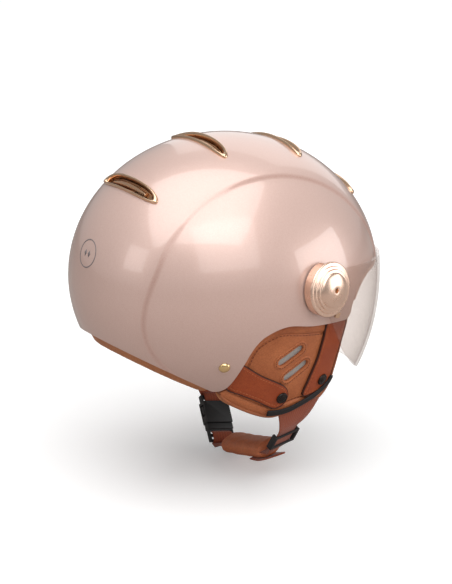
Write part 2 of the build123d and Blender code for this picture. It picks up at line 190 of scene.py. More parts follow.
class Wire:
    def __init__(self, recipe, socket):
        self.recipe = recipe
        self.socket = socket

    def sum(self, operation, first, second=None, third=None):
        inputs = {0: first}
        if second is not None:
            inputs[1] = second
        if third is not None:
            inputs[2] = third
        return self.recipe.node("ShaderNodeMath", {"operation": operation}, inputs)

    def __add__(self, other):
        return self.sum("ADD", self, other)

    __radd__ = __add__

    def __mul__(self, other):
        return self.sum("MULTIPLY", self, other)

    __rmul__ = __mul__

    def __sub__(self, other):
        return self.sum("SUBTRACT", self, other)

    def __rsub__(self, other):
        return self.sum("SUBTRACT", other, self)

    def __pow__(self, other):
        return self.sum("POWER", self, other)

    def sine(self):
        return self.sum("SINE", self)

    def size(self):
        return self.sum("ABSOLUTE", self)

    def least(self, other):
        return self.sum("MINIMUM", self, other)

    def most(self, other):
        return self.sum("MAXIMUM", self, other)


class Recipe:
    def __init__(self, name):
        self.material = bpy.data.materials.new(name)
        self.material.use_nodes = True
        self.tree = self.material.node_tree
        self.shader = self.tree.nodes["Principled BSDF"]

    def node(self, kind, settings=None, inputs=None, output=0):
        made = self.tree.nodes.new(kind)
        for key, value in (settings or {}).items():
            if key == "stops":
                ramp = made.color_ramp
                while len(ramp.elements) < len(value):
                    ramp.elements.new(0.5)
                for element, (place, colour) in zip(ramp.elements, value):
                    element.position = place
                    element.color = (*colour, 1)
            else:
                setattr(made, key, value)
        for key, value in (inputs or {}).items():
            self.feed(made.inputs[key], value)
        return Wire(self, made.outputs[output])

    def feed(self, socket, value):
        if isinstance(value, Wire):
            self.tree.links.new(value.socket, socket)
        elif hasattr(value, "__len__") and len(value) == 3 and len(socket.default_value) == 4:
            socket.default_value = (*value, 1)
        else:
            socket.default_value = value

    def place(self):
        return self.node("ShaderNodeTexCoord", output="Object")

    def along(self):
        uv = self.node("ShaderNodeUVMap", {"uv_map": "strapMap"})
        split = self.node("ShaderNodeSeparateXYZ", inputs={0: uv})
        return split, Wire(self, split.socket.node.outputs[1])

    def cloud(self, scale, detail=3.0, roughness=0.55, where=None):
        inputs = {"Vector": where or self.place(), "Scale": scale, "Detail": detail, "Roughness": roughness}
        return self.node("ShaderNodeTexNoise", inputs=inputs)

    def cells(self, scale, feature="F1", output="Distance", where=None):
        inputs = {"Vector": where or self.place(), "Scale": scale}
        return self.node("ShaderNodeTexVoronoi", {"feature": feature}, inputs, output)

    def mix(self, factor, first, second):
        return self.node("ShaderNodeMix", {"data_type": "RGBA"}, {0: factor, 6: first, 7: second}, 2)

    def bump(self, height, distance, strength=1.0, normal=None):
        inputs = {"Height": height, "Distance": distance, "Strength": strength}
        if normal is not None:
            inputs["Normal"] = normal
        return self.node("ShaderNodeBump", inputs=inputs)

    def finish(self, **values):
        for key, value in values.items():
            self.feed(self.shader.inputs[key.replace("_", " ")], value)
        return self.material


def colour(red, green, blue):
    def straight(value):
        value /= 255
        return value / 12.92 if value <= 0.04045 else ((value + 0.055) / 1.055) ** 2.4

    return straight(red), straight(green), straight(blue)


def pearlPaint():
    r = Recipe("pearlPaint")
    # the line colour below is painted shade: a darker rose line along the band's step
    look = {
        "tone": colour(217, 185, 174), "deep": colour(206, 172, 160), "line": colour(178, 132, 118),
        "flake": 2600,
    }
    drift = r.cloud(7, 2.0)
    fleck = r.cells(look["flake"], output="Color")
    fleckValue = r.node("ShaderNodeSeparateXYZ", inputs={0: fleck})
    base = r.mix(drift, look["tone"], look["deep"])
    # painted shade: the crease attribute darkens the paint towards the line colour along the band's step
    crease = r.node("ShaderNodeAttribute", {"attribute_name": "crease"}, output="Fac")
    stepShaded = r.mix(crease * 0.6, base, look["line"])
    light = r.mix(fleckValue * 0.16, stepShaded, colour(255, 240, 232))
    ripple = r.cloud(260, 2.0)
    return r.finish(
        Base_Color=light,
        Metallic=0.18 + fleckValue * 0.2,
        Roughness=0.3 + fleckValue * 0.1,
        Coat_Weight=1.0,
        Coat_Roughness=0.035,
        Normal=r.bump(ripple, 0.00002, 0.3),
    )


def platedGold(name, tone, rough):
    r = Recipe(name)
    smear = r.cloud(420, 4.0)
    haze = r.cloud(60, 2.0)
    shade = r.mix(haze * 0.35, tone, [c * 0.72 for c in tone])
    return r.finish(
        Base_Color=shade,
        Metallic=1.0,
        Roughness=rough + smear * 0.08,
        Normal=r.bump(smear, 0.00001, 0.4),
    )


def turnedGold():
    # fine rings from the lathe, about each pivot's own axis
    r = Recipe("turnedGold")
    split = r.node("ShaderNodeSeparateXYZ", inputs={0: r.place()})
    y = Wire(r, split.socket.node.outputs[1]) + 0.025
    z = Wire(r, split.socket.node.outputs[2]) + 0.0754
    radius = (y * y + z * z) ** 0.5
    ring = (radius * 9000).sine() * 0.5 + 0.5
    haze = r.cloud(120, 3.0)
    tone = r.mix(haze * 0.4, colour(250, 220, 200), colour(228, 186, 160))
    return r.finish(
        Base_Color=tone, Metallic=1.0, Roughness=0.2 + haze * 0.12, Normal=r.bump(ring, 0.000012, 0.35),
    )


def leather(name, tone, dark, grain=900):
    r = Recipe(name)
    pore = r.cells(grain, "SMOOTH_F1")
    crease = r.cells(grain * 0.42, "DISTANCE_TO_EDGE")
    patch = r.cloud(45, 4.0)
    fine = r.cloud(grain * 1.7, 3.0)
    worn = (patch * 1.6 - 0.35).most(0.0).least(1.0)
    base = r.mix(worn, dark, tone)
    pale = r.mix((1.0 - (crease * 9).least(1.0)) * 0.3, base, [c * 0.55 for c in dark])
    height = (crease * 6).least(1.0) * 0.6 + pore * 0.5 + fine * 0.25
    return r.finish(
        Base_Color=pale,
        Roughness=0.44 + patch * 0.2,
        Normal=r.bump(height, 0.00012, 0.45),
        Specular_IOR_Level=0.4,
    )


def weave(name, tone, dark, rib=0.0013):
    # a strap's own map: across its width and along its length, in metres
    r = Recipe(name)
    across, length = r.along()
    wave = (across * (2 * math.pi / rib)).sine() * 0.5 + 0.5
    slant = ((length + across * 0.8) * (2 * math.pi / (rib * 1.1))).sine() * 0.5 + 0.5
    cloth = wave * 0.55 + slant * 0.45
    fuzz = r.cloud(2200, 2.0)
    stain = r.cloud(60, 3.0)
    base = r.mix(cloth * 0.7 + fuzz * 0.3, dark, tone)
    shade = r.mix(stain * 0.35, base, dark)
    return r.finish(
        Base_Color=shade,
        Roughness=0.78 + fuzz * 0.12,
        Normal=r.bump(cloth + fuzz * 0.3, 0.00022, 0.7),
        Sheen_Weight=0.25,
        Sheen_Roughness=0.5,
    )


def knit(name, tone, dark, pitch=0.0016):
    r = Recipe(name)
    split = r.node("ShaderNodeSeparateXYZ", inputs={0: r.place()})
    y = Wire(r, split.socket.node.outputs[1])
    z = Wire(r, split.socket.node.outputs[2])
    turn = 2 * math.pi / pitch
    rows = ((y + z * 0.6) * turn).sine() * 0.5 + 0.5
    wales = ((split + z * 0.7) * turn * 0.8).sine() * 0.5 + 0.5
    fuzz = r.cloud(1500, 4.0)
    wide = r.cloud(40, 3.0)
    loops = rows * wales
    base = r.mix(loops * 0.6 + fuzz * 0.4, dark, tone)
    shade = r.mix(wide * 0.4, base, dark)
    return r.finish(
        Base_Color=shade,
        Roughness=0.85 + fuzz * 0.1,
        Normal=r.bump(loops + fuzz * 0.5, 0.0002, 0.7),
        Sheen_Weight=0.4,
        Sheen_Roughness=0.4,
    )


def moulded(name, tone, rough=0.42, grain=1600):
    r = Recipe(name)
    spark = r.cloud(grain, 3.0)
    scuff = r.cloud(90, 4.0)
    shade = r.mix(scuff * 0.35, tone, [c * 1.9 + 0.006 for c in tone])
    return r.finish(Base_Color=shade, Roughness=rough + scuff * 0.18, Normal=r.bump(spark, 0.00003, 0.5))


def beadFoam():
    r = Recipe("beadFoam")
    bead = r.cells(330, "DISTANCE_TO_EDGE")
    dust = r.cloud(900, 3.0)
    tone = r.mix((bead * 5).least(1.0), colour(16, 16, 17), colour(46, 46, 48))
    return r.finish(
        Base_Color=tone, Roughness=0.7 + dust * 0.2, Normal=r.bump((bead * 7).least(1.0), 0.0003, 0.6),
    )


def clearShield():
    r = Recipe("clearShield")
    haze = r.cloud(60, 3.0)
    turn = r.node("ShaderNodeLayerWeight", inputs={"Blend": 0.5}, output="Facing")
    r.finish(Base_Color=colour(243, 238, 235), Roughness=0.02 + haze * 0.03, Metallic=1.0)
    clear = r.node("ShaderNodeBsdfTransparent", inputs={"Color": (0.94, 0.915, 0.90)})
    share = turn**4 * 0.5 + 0.035 + haze * 0.012
    joined = r.node("ShaderNodeMixShader", inputs={0: share, 1: clear, 2: Wire(r, r.shader.outputs[0])})
    r.tree.links.new(joined.socket, r.tree.nodes["Material Output"].inputs["Surface"])
    r.material.surface_render_method = "BLENDED"
    return r.material


def netCloth():
    r = Recipe("netCloth")
    split = r.node("ShaderNodeSeparateXYZ", inputs={0: r.place()})
    y = Wire(r, split.socket.node.outputs[1])
    z = Wire(r, split.socket.node.outputs[2])
    turn = 2 * math.pi / 0.0011
    hole = ((y * turn).sine() * (z * turn).sine()).size()
    fuzz = r.cloud(900, 2.0)
    tone = r.mix(hole, colour(205, 203, 198), colour(120, 118, 115))
    return r.finish(Base_Color=tone, Roughness=0.8 + fuzz * 0.1, Normal=r.bump(1.0 - hole, 0.0002, 0.7))


finishes = {
    "shell": pearlPaint(),
    "ventGold": platedGold("ventGold", colour(236, 200, 168), 0.12),
    "ventBronze": platedGold("ventBronze", colour(182, 140, 106), 0.24),
    "capGold": turnedGold(),
    "brassGold": platedGold("brassGold", colour(240, 208, 152), 0.16),
    "steel": platedGold("steel", colour(190, 188, 184), 0.28),
    "darkBronze": platedGold("darkBronze", colour(62, 56, 54), 0.34),
    "flapLeather": leather("flapLeather", colour(204, 124, 78), colour(170, 94, 54)),
    "strapLeather": leather("strapLeather", colour(178, 84, 40), colour(146, 60, 26), 1100),
    "edgeLeather": leather("edgeLeather", colour(182, 112, 74), colour(150, 84, 50), 1200),
    "rollLeather": leather("rollLeather", colour(206, 138, 92), colour(184, 114, 72), 1000),
    "sleeveLeather": leather("sleeveLeather", colour(216, 132, 90), colour(184, 98, 60), 800),
    "bandLeather": leather("bandLeather", colour(34, 32, 34), colour(22, 20, 22), 1400),
    "webbing": weave("webbing", colour(176, 84, 42), colour(126, 50, 22)),
    "liningKnit": knit("liningKnit", colour(170, 116, 84), colour(132, 84, 58)),
    "padKnit": knit("padKnit", colour(176, 120, 86), colour(138, 88, 60)),
    "blackPlastic": moulded("blackPlastic", colour(26, 25, 26)),
    "basePlastic": moulded("basePlastic", colour(34, 30, 30), 0.5),
    "trimRubber": moulded("trimRubber", colour(196, 170, 160), 0.4),
    "foam": beadFoam(),
    "shield": clearShield(),
    "net": netCloth(),
    "thread": moulded("thread", colour(170, 98, 58), 0.7, 3000),
    "darkThread": moulded("darkThread", colour(96, 44, 22), 0.7, 3000),
    "strapEdge": moulded("strapEdge", colour(62, 26, 12), 0.6, 2000),
    "print": moulded("print", colour(120, 112, 112), 0.35),
}
print("materials made:", len(finishes))


def smoothPath(points, steps, closed=False):
    # an even curve through the given places
    count = len(points)
    made = []
    spans = count if closed else count - 1
    for i in range(spans):
        near = [
            points[(i + k) % count] if closed else points[
                min(max(i + k, 0), count - 1)
            ] for k in (-1, 0, 1, 2)
        ]
        a, b, c, d = [Vector(p) for p in near]
        for s in range(steps):
            t = s / steps
            made.append(
                0.5 * (
                    (2 * b) + (c - a) * t + (
                        2 * a - 5 * b + 4 * c - d
                    ) * t * t + (3 * b - a - 3 * c + d) * t**3
                )
            )
    if not closed:
        made.append(Vector(points[-1]))
    return made


def newPiece(name, mesh, finish, body="shell", stands=()):
    piece = bpy.data.objects.new(name, mesh)
    bpy.context.scene.collection.objects.link(piece)
    if finish is not None:
        mesh.materials.clear()
        mesh.materials.append(finishes[finish])
    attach(piece, body)
    if stands:
        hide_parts(*stands)
    return piece


def loft(name, rings, joined=False, caps=True, smooth=True):
    # rings of equal count, each a closed loop of places; the map runs round and along, in metres
    mesh = bpy.data.meshes.new(name)
    count = len(rings[0])
    verts = [tuple(p) for ring in rings for p in ring]
    faces = []
    spans = len(rings) if joined else len(rings) - 1
    for i in range(spans):
        j = (i + 1) % len(rings)
        for k in range(count):
            n = (k + 1) % count
            faces.append((i * count + k, i * count + n, j * count + n, j * count + k))
    if caps and not joined:
        faces.append(tuple(range(count))[::-1])
        faces.append(tuple((len(rings) - 1) * count + k for k in range(count)))
    mesh.from_pydata(verts, [], faces)
    mesh.polygons.foreach_set("use_smooth", [smooth] * len(mesh.polygons))
    addStrapMap(mesh, rings)
    tidy(mesh)
    return mesh


def addStrapMap(mesh, rings):
    layer = mesh.uv_layers.new(name="strapMap")
    count = len(rings[0])
    along = [0.0]
    for a, b in zip(rings, rings[1:]):
        middle = sum((Vector(p) for p in a), Vector()) / count
        after = sum((Vector(p) for p in b), Vector()) / count
        along.append(along[-1] + (after - middle).length)
    width = (Vector(rings[0][0]) - Vector(rings[0][count // 2])).length
    sides = [0.5 * width * math.cos(2 * math.pi * k / count) for k in range(count)]
    for polygon in mesh.polygons:
        for corner in polygon.loop_indices:
            v = mesh.loops[corner].vertex_index
            layer.data[corner].uv = (sides[v % count], along[v // count])


def tidy(mesh):
    work = bmesh.new()
    work.from_mesh(mesh)
    bmesh.ops.remove_doubles(work, verts=work.verts, dist=0.00001)
    bmesh.ops.recalc_face_normals(work, faces=work.faces)
    work.to_mesh(mesh)
    work.free()


def baked(piece):
    # the result of the piece's modifiers as a plain mesh
    bpy.context.view_layer.update()
    evaluated = piece.evaluated_get(bpy.context.evaluated_depsgraph_get())
    mesh = bpy.data.meshes.new_from_object(evaluated)
    piece.modifiers.clear()
    old = piece.data
    piece.data = mesh
    mesh.name = old.name
    return mesh


def sectionRing(middle, across, thick, halfWidth, halfThick, count=16, square=2.0):
    ring = []
    for k in range(count):
        a = 2 * math.pi * k / count
        c, s = math.cos(a), math.sin(a)
        u = math.copysign(abs(c) ** (2 / square), c) * halfWidth
        v = math.copysign(abs(s) ** (2 / square), s) * halfThick
        ring.append(middle + across * u + thick * v)
    return ring


def ribbon(name, path, ways, halfWidths, halfThick, count=20, square=5.0):
    # a flat strap along a path; ways are the directions of its width
    rings = []
    for i, middle in enumerate(path):
        run = (path[min(i + 1, len(path) - 1)] - path[max(i - 1, 0)]).normalized()
        across = (ways[i] - run * ways[i].dot(run)).normalized()
        thick = run.cross(across).normalized()
        rings.append(sectionRing(middle, across, thick, halfWidths[i], halfThick, count, square))
    return loft(name, rings)


def spread(values, steps):
    # numbers or directions at the knots of a path, carried smoothly between them
    if isinstance(values[0], Vector):
        return smoothPath(values, steps)
    return [p.x for p in smoothPath([(value, 0, 0) for value in values], steps)]


def runTree(name, round_):
    tree = bpy.data.node_groups.new(name, "GeometryNodeTree")
    face = tree.interface
    face.new_socket("Path", in_out="INPUT", socket_type="NodeSocketGeometry")
    for label, value in (("Spacing", 0.003), ("Length", 0.002), ("Width", 0.0006), ("Height", 0.0006)):
        face.new_socket(label, in_out="INPUT", socket_type="NodeSocketFloat").default_value = value
    face.new_socket("Finish", in_out="INPUT", socket_type="NodeSocketMaterial")
    face.new_socket("Run", in_out="OUTPUT", socket_type="NodeSocketGeometry")
    add, link = tree.nodes.new, tree.links.new
    given = add("NodeGroupInput")
    curve = add("GeometryNodeMeshToCurve")
    even = add("GeometryNodeResampleCurve")
    even.mode = "LENGTH"
    tangent = add("GeometryNodeInputTangent")
    up = add("GeometryNodeInputNamedAttribute")
    up.data_type = "FLOAT_VECTOR"
    up.inputs["Name"].default_value = "up"
    ahead = add("FunctionNodeAlignRotationToVector")
    ahead.axis = "X"
    upright = add("FunctionNodeAlignRotationToVector")
    upright.axis = "Z"
    upright.pivot_axis = "X"
    size = add("ShaderNodeCombineXYZ")
    if round_:
        shape = add("GeometryNodeMeshUVSphere")
        shape.inputs["Segments"].default_value = 8
        shape.inputs["Rings"].default_value = 6
        shape.inputs["Radius"].default_value = 0.5
    else:
        shape = add("GeometryNodeMeshCube")
    placed = add("GeometryNodeInstanceOnPoints")
    solid = add("GeometryNodeRealizeInstances")
    coat = add("GeometryNodeSetMaterial")
    result = add("NodeGroupOutput")
    link(given.outputs["Path"], curve.inputs[0])
    link(curve.outputs[0], even.inputs["Curve"])
    link(given.outputs["Spacing"], even.inputs["Length"])
    link(tangent.outputs[0], ahead.inputs["Vector"])
    link(ahead.outputs[0], upright.inputs["Rotation"])
    link(up.outputs["Attribute"], upright.inputs["Vector"])
    for label, spot in (("Length", 0), ("Width", 1), ("Height", 2)):
        link(given.outputs[label], size.inputs[spot])
    link(even.outputs[0], placed.inputs["Points"])
    link(shape.outputs[0], placed.inputs["Instance"])
    link(upright.outputs[0], placed.inputs["Rotation"])
    link(size.outputs[0], placed.inputs["Scale"])
    link(placed.outputs[0], solid.inputs[0])
    link(solid.outputs[0], coat.inputs[0])
    link(given.outputs["Finish"], coat.inputs["Material"])
    link(coat.outputs[0], result.inputs[0])
    return tree


stitchTree = runTree("stitchRun", True)
ribTree = runTree("ribRun", False)


def runMesh(name, tree, paths, ups, sizes, finish):
    mesh = bpy.data.meshes.new(name)
    verts, edges, lifts = [], [], []
    for path, up in zip(paths, ups):
        start = len(verts)
        verts += [tuple(p) for p in path]
        lifts += [tuple(u) for u in up]
        edges += [(start + i, start + i + 1) for i in range(len(path) - 1)]
    mesh.from_pydata(verts, edges, [])
    holder = mesh.attributes.new("up", "FLOAT_VECTOR", "POINT")
    for i, lift in enumerate(lifts):
        holder.data[i].vector = lift
    piece = bpy.data.objects.new(name, mesh)
    bpy.context.scene.collection.objects.link(piece)
    modifier = piece.modifiers.new("run", "NODES")
    modifier.node_group = tree
    for item in tree.interface.items_tree:
        if item.in_out == "INPUT" and item.name in sizes:
            modifier[item.identifier] = sizes[item.name]
        if item.in_out == "INPUT" and item.name == "Finish":
            modifier[item.identifier] = finishes[finish]
    made = baked(piece)
    bpy.data.objects.remove(piece)
    made.polygons.foreach_set("use_smooth", [tree == stitchTree] * len(made.polygons))
    return made


def loadPlain(name):
    # a merged copy of a CAD node's mesh
    mesh = nodes[name].data.copy()
    work = bmesh.new()
    work.from_mesh(mesh)
    bmesh.ops.remove_doubles(work, verts=work.verts, dist=0.000005)
    bmesh.ops.dissolve_limit(work, angle_limit=math.radians(1.5), verts=work.verts, edges=work.edges)
    work.to_mesh(mesh)
    work.free()
    return mesh


def softened(name, node, finish, width, body="shell", segments=2):
    # a moulded piece: the CAD shape with its edges rounded
    piece = newPiece(name, loadPlain(node), finish, body, [node])
    bevel = piece.modifiers.new("rounded", "BEVEL")
    bevel.width = width
    bevel.segments = segments
    bevel.limit_method = "ANGLE"
    bevel.angle_limit = math.radians(35)
    bevel.harden_normals = False
    baked(piece)
    piece.data.polygons.foreach_set("use_smooth", [True] * len(piece.data.polygons))
    sharpen(piece.data, 50)
    return piece


def joinMeshes(name, parts):
    work = bmesh.new()
    for part in parts:
        work.from_mesh(part)
    mesh = bpy.data.meshes.new(name)
    work.to_mesh(mesh)
    work.free()
    mesh.polygons.foreach_set("use_smooth", [True] * len(mesh.polygons))
    return mesh


def sharpen(mesh, degrees):
    work = bmesh.new()
    work.from_mesh(mesh)
    limit = math.radians(degrees)
    for edge in work.edges:
        edge.smooth = not (len(edge.link_faces) == 2 and edge.calc_face_angle(0) > limit)
    work.to_mesh(mesh)
    work.free()


shellShape = {
    "half": (109.4, 133.6, 115.6),
    "noseDown": 8.8,
    "band": 63.5,
    "bandEase": 1.9,
    "step": 1.3,
    "wall": 4.2,
    "around": 216,
    "edge": 0.9,
    # the width of the painted shade line along the band's step, in millimetres
    "stepShadeWide": 1.3,
}


def bandWidth(angle):
    # the middle band narrows a little towards the brow and towards the rear rim
    rear = max(0.0, 1 - abs(math.degrees(angle) + 24) / 38)
    front = max(0.0, 1 - abs(abs(math.degrees(angle)) - 160) / 32)
    return shellShape["band"] - 7.6 * rear * rear * (3 - 2 * rear) - 4.6 * front * front * (3 - 2 * front)


def ease(t):
    t = min(max(t, 0.0), 1.0)
    return t * t * (3 - 2 * t)


def insetAt(x, angle):
    edge = bandWidth(angle)
    soft = shellShape["bandEase"]
    return shellShape["step"] * ease((abs(x) - edge + soft) / (2 * soft))


def shellPlace(x, angle):
    # x across, and the angle round the side view from the rear, in the egg's own axes
    a, b, c = shellShape["half"]
    inset = insetAt(x, angle)
    wide = a - (shellShape["step"] if abs(x) > 75 else inset)
    reach = math.sqrt(max(0.0, 1 - (x / wide) ** 2))
    y = (b - inset) * reach * math.cos(angle)
    z = (c - inset) * reach * math.sin(angle)
    return at(*turned(x, y, z, shellShape["noseDown"]))


def shellNormal(place):
    # numbers near the skin, from the place itself
    a, b, c = shellShape["half"]
    x, y, z = place.x * 1000, place.y * 1000, place.z * 1000 + crownDrop
    _, v, w = turned(x, y, z, -shellShape["noseDown"])
    angle = math.atan2(w / c, v / b)
    step = 0.25
    limit = a - shellShape["step"] - 0.02
    low, high = max(x - step, -limit), min(x + step, limit)
    if abs(x) > 100:
        n = Vector((x / a**2, v / b**2, w / c**2)).normalized()
        return Vector(turned(*n, shellShape["noseDown"])).normalized()
    p, q = shellPlace(low, angle), shellPlace(high, angle)
    r, s = shellPlace(x, angle - 0.004), shellPlace(x, angle + 0.004)
    n = (q - p).cross(s - r).normalized()
    outward = Vector((x, y, z))
    return n if n.dot(outward) > 0 else -n


def rimOutline():
    # the side view of everything above the rim, as places (y, z)
    turn = math.radians
    brow = [(-90 + 32 * math.cos(turn(a)), -24 + 32 * math.sin(turn(a))) for a in range(90, 7, -6)]
    arch = smoothPath(
        [(-54, -24.5), (-15, -20.5), (10, -16.3), (28, -21.5), (37, -31), (42, -46), (46, -64)], 8,
    )
    corner = smoothPath([(46, -64), (47.6, -69.3), (51, -72.5), (55.6, -72.8), (60, -70.6)], 4)
    join = smoothPath([(-58.6, -19.5), (-56.8, -22.4), (-54, -24.5)], 3)
    return brow + [(p[0], p[1]) for p in join[:-1] + arch[:-1] + corner]


def prism(name, outline, low=-0.2, high=0.2):
    mesh = bpy.data.meshes.new(name)
    count = len(outline)
    verts = [(low, y * 0.001, (z - crownDrop) * 0.001) for y, z in outline]
    verts += [(high, y * 0.001, (z - crownDrop) * 0.001) for y, z in outline]
    faces = [tuple(range(count)), tuple(range(count, 2 * count))[::-1]]
    faces += [(i, (i + 1) % count, (i + 1) % count + count, i + count) for i in range(count)]
    mesh.from_pydata(verts, [], faces)
    tidy(mesh)
    piece = bpy.data.objects.new(name, mesh)
    bpy.context.scene.collection.objects.link(piece)
    return piece


def cut(piece, cutter, operation="DIFFERENCE"):
    modifier = piece.modifiers.new("cut", "BOOLEAN")
    modifier.operation = operation
    modifier.solver = "EXACT"
    modifier.object = cutter
    baked(piece)
    bpy.data.objects.remove(cutter)


ventShape = {
    "places": ((93.5, 86.1), (26.2, 114.7), (-48.7, 106.1), (-105, 66.5)),
    "half": 38.5,
    "front": 8.6,
    "back": 4.0,
    "bluntness": 0.7,
    "rim": (
        (-0.6, -0.6), (-0.5, 0.9), (0, 2.0), (0.6, 2.5), (1.3, 2.3), (1.7, 1.5), (1.9, 0.2), (2.1, -2.8),
    ),
    "rimWall": 0.0006,
    "plate": ((2.0, -2.6), (2.9, -2.8), (3.4, -2.8)),
    "barReach": 25,
    "ribs": {"Spacing": 0.0022, "Length": 0.0007, "Width": 0.0048, "Height": 0.0014},
}


def ventFrame(place):
    _, b, c = shellShape["half"]
    y, z = place
    _, v, w = turned(0, y, z, -shellShape["noseDown"])
    normal = Vector(turned(0, v / b**2, w / c**2, shellShape["noseDown"])).normalized()
    across = Vector((1, 0, 0))
    ahead = normal.cross(across)
    return at(0, y, z), across, ahead, normal


def ventOutline(inset=0.0, steps=76):
    # a long blunt leaf: the front edge bows more than the rear one
    half = ventShape["half"] - 1.9 * inset
    front, back = ventShape["front"] - inset, ventShape["back"] - 0.8 * inset
    line = []
    for i in range(steps):
        a = 2 * math.pi * i / steps
        x = math.copysign(half * abs(math.cos(a)) ** ventShape["bluntness"], math.cos(a))
        bow = back if math.sin(a) > 0 else front
        line.append((x, math.copysign(bow * abs(math.sin(a)) ** 0.92, math.sin(a))))
    return line


def onSkin(origin, x, y, lift, across, ahead, normal):
    # where a line square to the vent's plane meets the egg, then lifted off it
    a, b, c = shellShape["half"]
    start = origin + (across * x + ahead * y) * 0.001
    s = (start.x * 1000, *turned(0, start.y * 1000, start.z * 1000 + crownDrop, -shellShape["noseDown"])[1:])
    d = (normal.x, *turned(0, normal.y, normal.z, -shellShape["noseDown"])[1:])
    qa = sum((d[i] / (a, b, c)[i]) ** 2 for i in range(3))
    qb = 2 * sum(d[i] * s[i] / (a, b, c)[i] ** 2 for i in range(3))
    qc = sum((s[i] / (a, b, c)[i]) ** 2 for i in range(3)) - 1
    t = (-qb + math.sqrt(max(0.0, qb * qb - 4 * qa * qc))) / (2 * qa)
    skin = start + normal * (t * 0.001)
    return skin + shellNormal(skin) * (lift * 0.001)


def shellRow(angle):
    # places across the shell: even on the middle band, close in its step, and closing up towards the pole
    edge, soft = bandWidth(angle), shellShape["bandEase"]
    pole = shellShape["half"][0] - shellShape["step"]
    flat = [i / 12 * (edge - soft) for i in range(12)]
    bend = [edge - soft + 2 * soft * i / 8 for i in range(9)]
    start = math.asin((edge + soft) / pole)
    low = [pole * math.sin(start + (math.pi / 2 - start) * i / 22) for i in range(1, 22)]
    right = flat + bend + low
    return [-x for x in right[::-1]][:-1] + right


def shellGrid():
    # the whole egg, as rows round the side view and one point at each side's pole
    mesh = bpy.data.meshes.new("shellSkin")
    around = shellShape["around"]
    rows = []
    for k in range(around):
        angle = 2 * math.pi * k / around - math.pi
        rows.append([shellPlace(x, angle) for x in shellRow(angle)])
    count = len(rows[0])
    verts = [tuple(p) for row in rows for p in row]
    faces = []
    for k in range(around):
        n = (k + 1) % around
        faces += [
            (k * count + i, k * count + i + 1, n * count + i + 1, n * count + i) for i in range(count - 1)
        ]
    pole = shellShape["half"][0] - shellShape["step"]
    for side, end in ((-1, 0), (1, count - 1)):
        verts.append(tuple(at(side * pole, 0, 0)))
        tip = len(verts) - 1
        faces += [(tip, k * count + end, ((k + 1) % around) * count + end) for k in range(around)]
    mesh.from_pydata(verts, [], faces)
    tidy(mesh)
    return mesh


def cutRim(shell):
    far, rise, run = 170, 0.597, 110  # beyond the shell, and the rear rim's slope
    outline = [(-far, 8)] + rimOutline()
    outline += [(far, -70.6 + rise * run), (far, far), (-far, far)]
    cut(shell, prism("rimCutter", outline), "INTERSECT")


def cutVents(shell):
    for place in ventShape["places"]:
        origin, across, ahead, normal = ventFrame(place)
        low = [origin + (across * x + ahead * y - normal * 16) * 0.001 for x, y in ventOutline(1.2)]
        high = [p + normal * 0.03 for p in low]
        cutter = bpy.data.objects.new("ventCutter", loft("ventCutter", [low, high]))
        bpy.context.scene.collection.objects.link(cutter)
        cut(shell, cutter)


def keepSkin(mesh):
    # only the outer skin stays; the cuts' own walls go
    half = [value - 1.4 for value in shellShape["half"]]
    work = bmesh.new()
    work.from_mesh(mesh)
    away = []
    for face in work.faces:
        p = face.calc_center_median()
        place = turned(p.x * 1000, p.y * 1000, p.z * 1000 + crownDrop, -shellShape["noseDown"])
        if sum((value / limit) ** 2 for value, limit in zip(place, half)) < 0.985:
            away.append(face)
    bmesh.ops.delete(work, geom=away, context="FACES")
    bmesh.ops.remove_doubles(work, verts=work.verts, dist=0.00004)
    work.to_mesh(mesh)
    work.free()


def thicken(shell):
    wall = shell.modifiers.new("wall", "SOLIDIFY")
    wall.thickness = shellShape["wall"] * 0.001
    wall.offset = -1
    bevel = shell.modifiers.new("edge", "BEVEL")
    bevel.width = shellShape["edge"] * 0.001
    bevel.segments = 3
    bevel.limit_method = "ANGLE"
    bevel.angle_limit = math.radians(48)
    baked(shell)
    shell.data.polygons.foreach_set("use_smooth", [True] * len(shell.data.polygons))
    shell.data.materials.clear()
    shell.data.materials.append(finishes["shell"])


def markStepShade(mesh):
    # how near each point is to the band's edge, where the paint is darkened as painted shade along the step
    _, b, c = shellShape["half"]
    crease = mesh.attributes.new("crease", "FLOAT", "POINT")
    for v, value in zip(mesh.vertices, crease.data):
        _, y, z = turned(0, v.co.y * 1000, v.co.z * 1000 + crownDrop, -shellShape["noseDown"])
        off = abs(v.co.x * 1000) - bandWidth(math.atan2(z / c, y / b))
        value.value = math.exp(-((off / shellShape["stepShadeWide"]) ** 2))


def makeShell():
    shell = newPiece("shellSkin", shellGrid(), "shell", "shell", ["outer_shell"])
    cutRim(shell)
    cutVents(shell)
    keepSkin(shell.data)
    thicken(shell)
    giveSkinNormals(shell.data)
    markStepShade(shell.data)
    return shell


def giveSkinNormals(mesh):
    # the curved skins are shaded from the egg itself, and the rim from its own faces
    known = {}
    normals = []
    for polygon in mesh.polygons:
        middle = polygon.center
        near = shellNormal(middle)
        side = polygon.normal.dot(near)
        for corner in polygon.loop_indices:
            v = mesh.loops[corner].vertex_index
            if abs(side) > 0.97:
                if v not in known:
                    known[v] = shellNormal(mesh.vertices[v].co)
                normals.append(known[v] * (1 if side > 0 else -1))
            else:
                normals.append(mesh.vertices[v].normal.copy())
    mesh.normals_split_custom_set(normals)


shell = makeShell()
print("shell made:", len(shell.data.polygons), "faces")


def ventRim(name, spot, number):
    origin, across, ahead, normal = spot
    rings = []
    for inward, lift in ventShape["rim"]:
        line = ventOutline(inward)
        rings.append([onSkin(origin, x, y, lift, across, ahead, normal) for x, y in line])
    mesh = loft(name, rings, caps=False)
    piece = newPiece(name, mesh, "ventGold", "shell", [f"vent_bezel_{number}"])
    thick = piece.modifiers.new("wall", "SOLIDIFY")
    thick.thickness = ventShape["rimWall"]
    thick.offset = -1
    baked(piece)
    piece.data.polygons.foreach_set("use_smooth", [True] * len(piece.data.polygons))


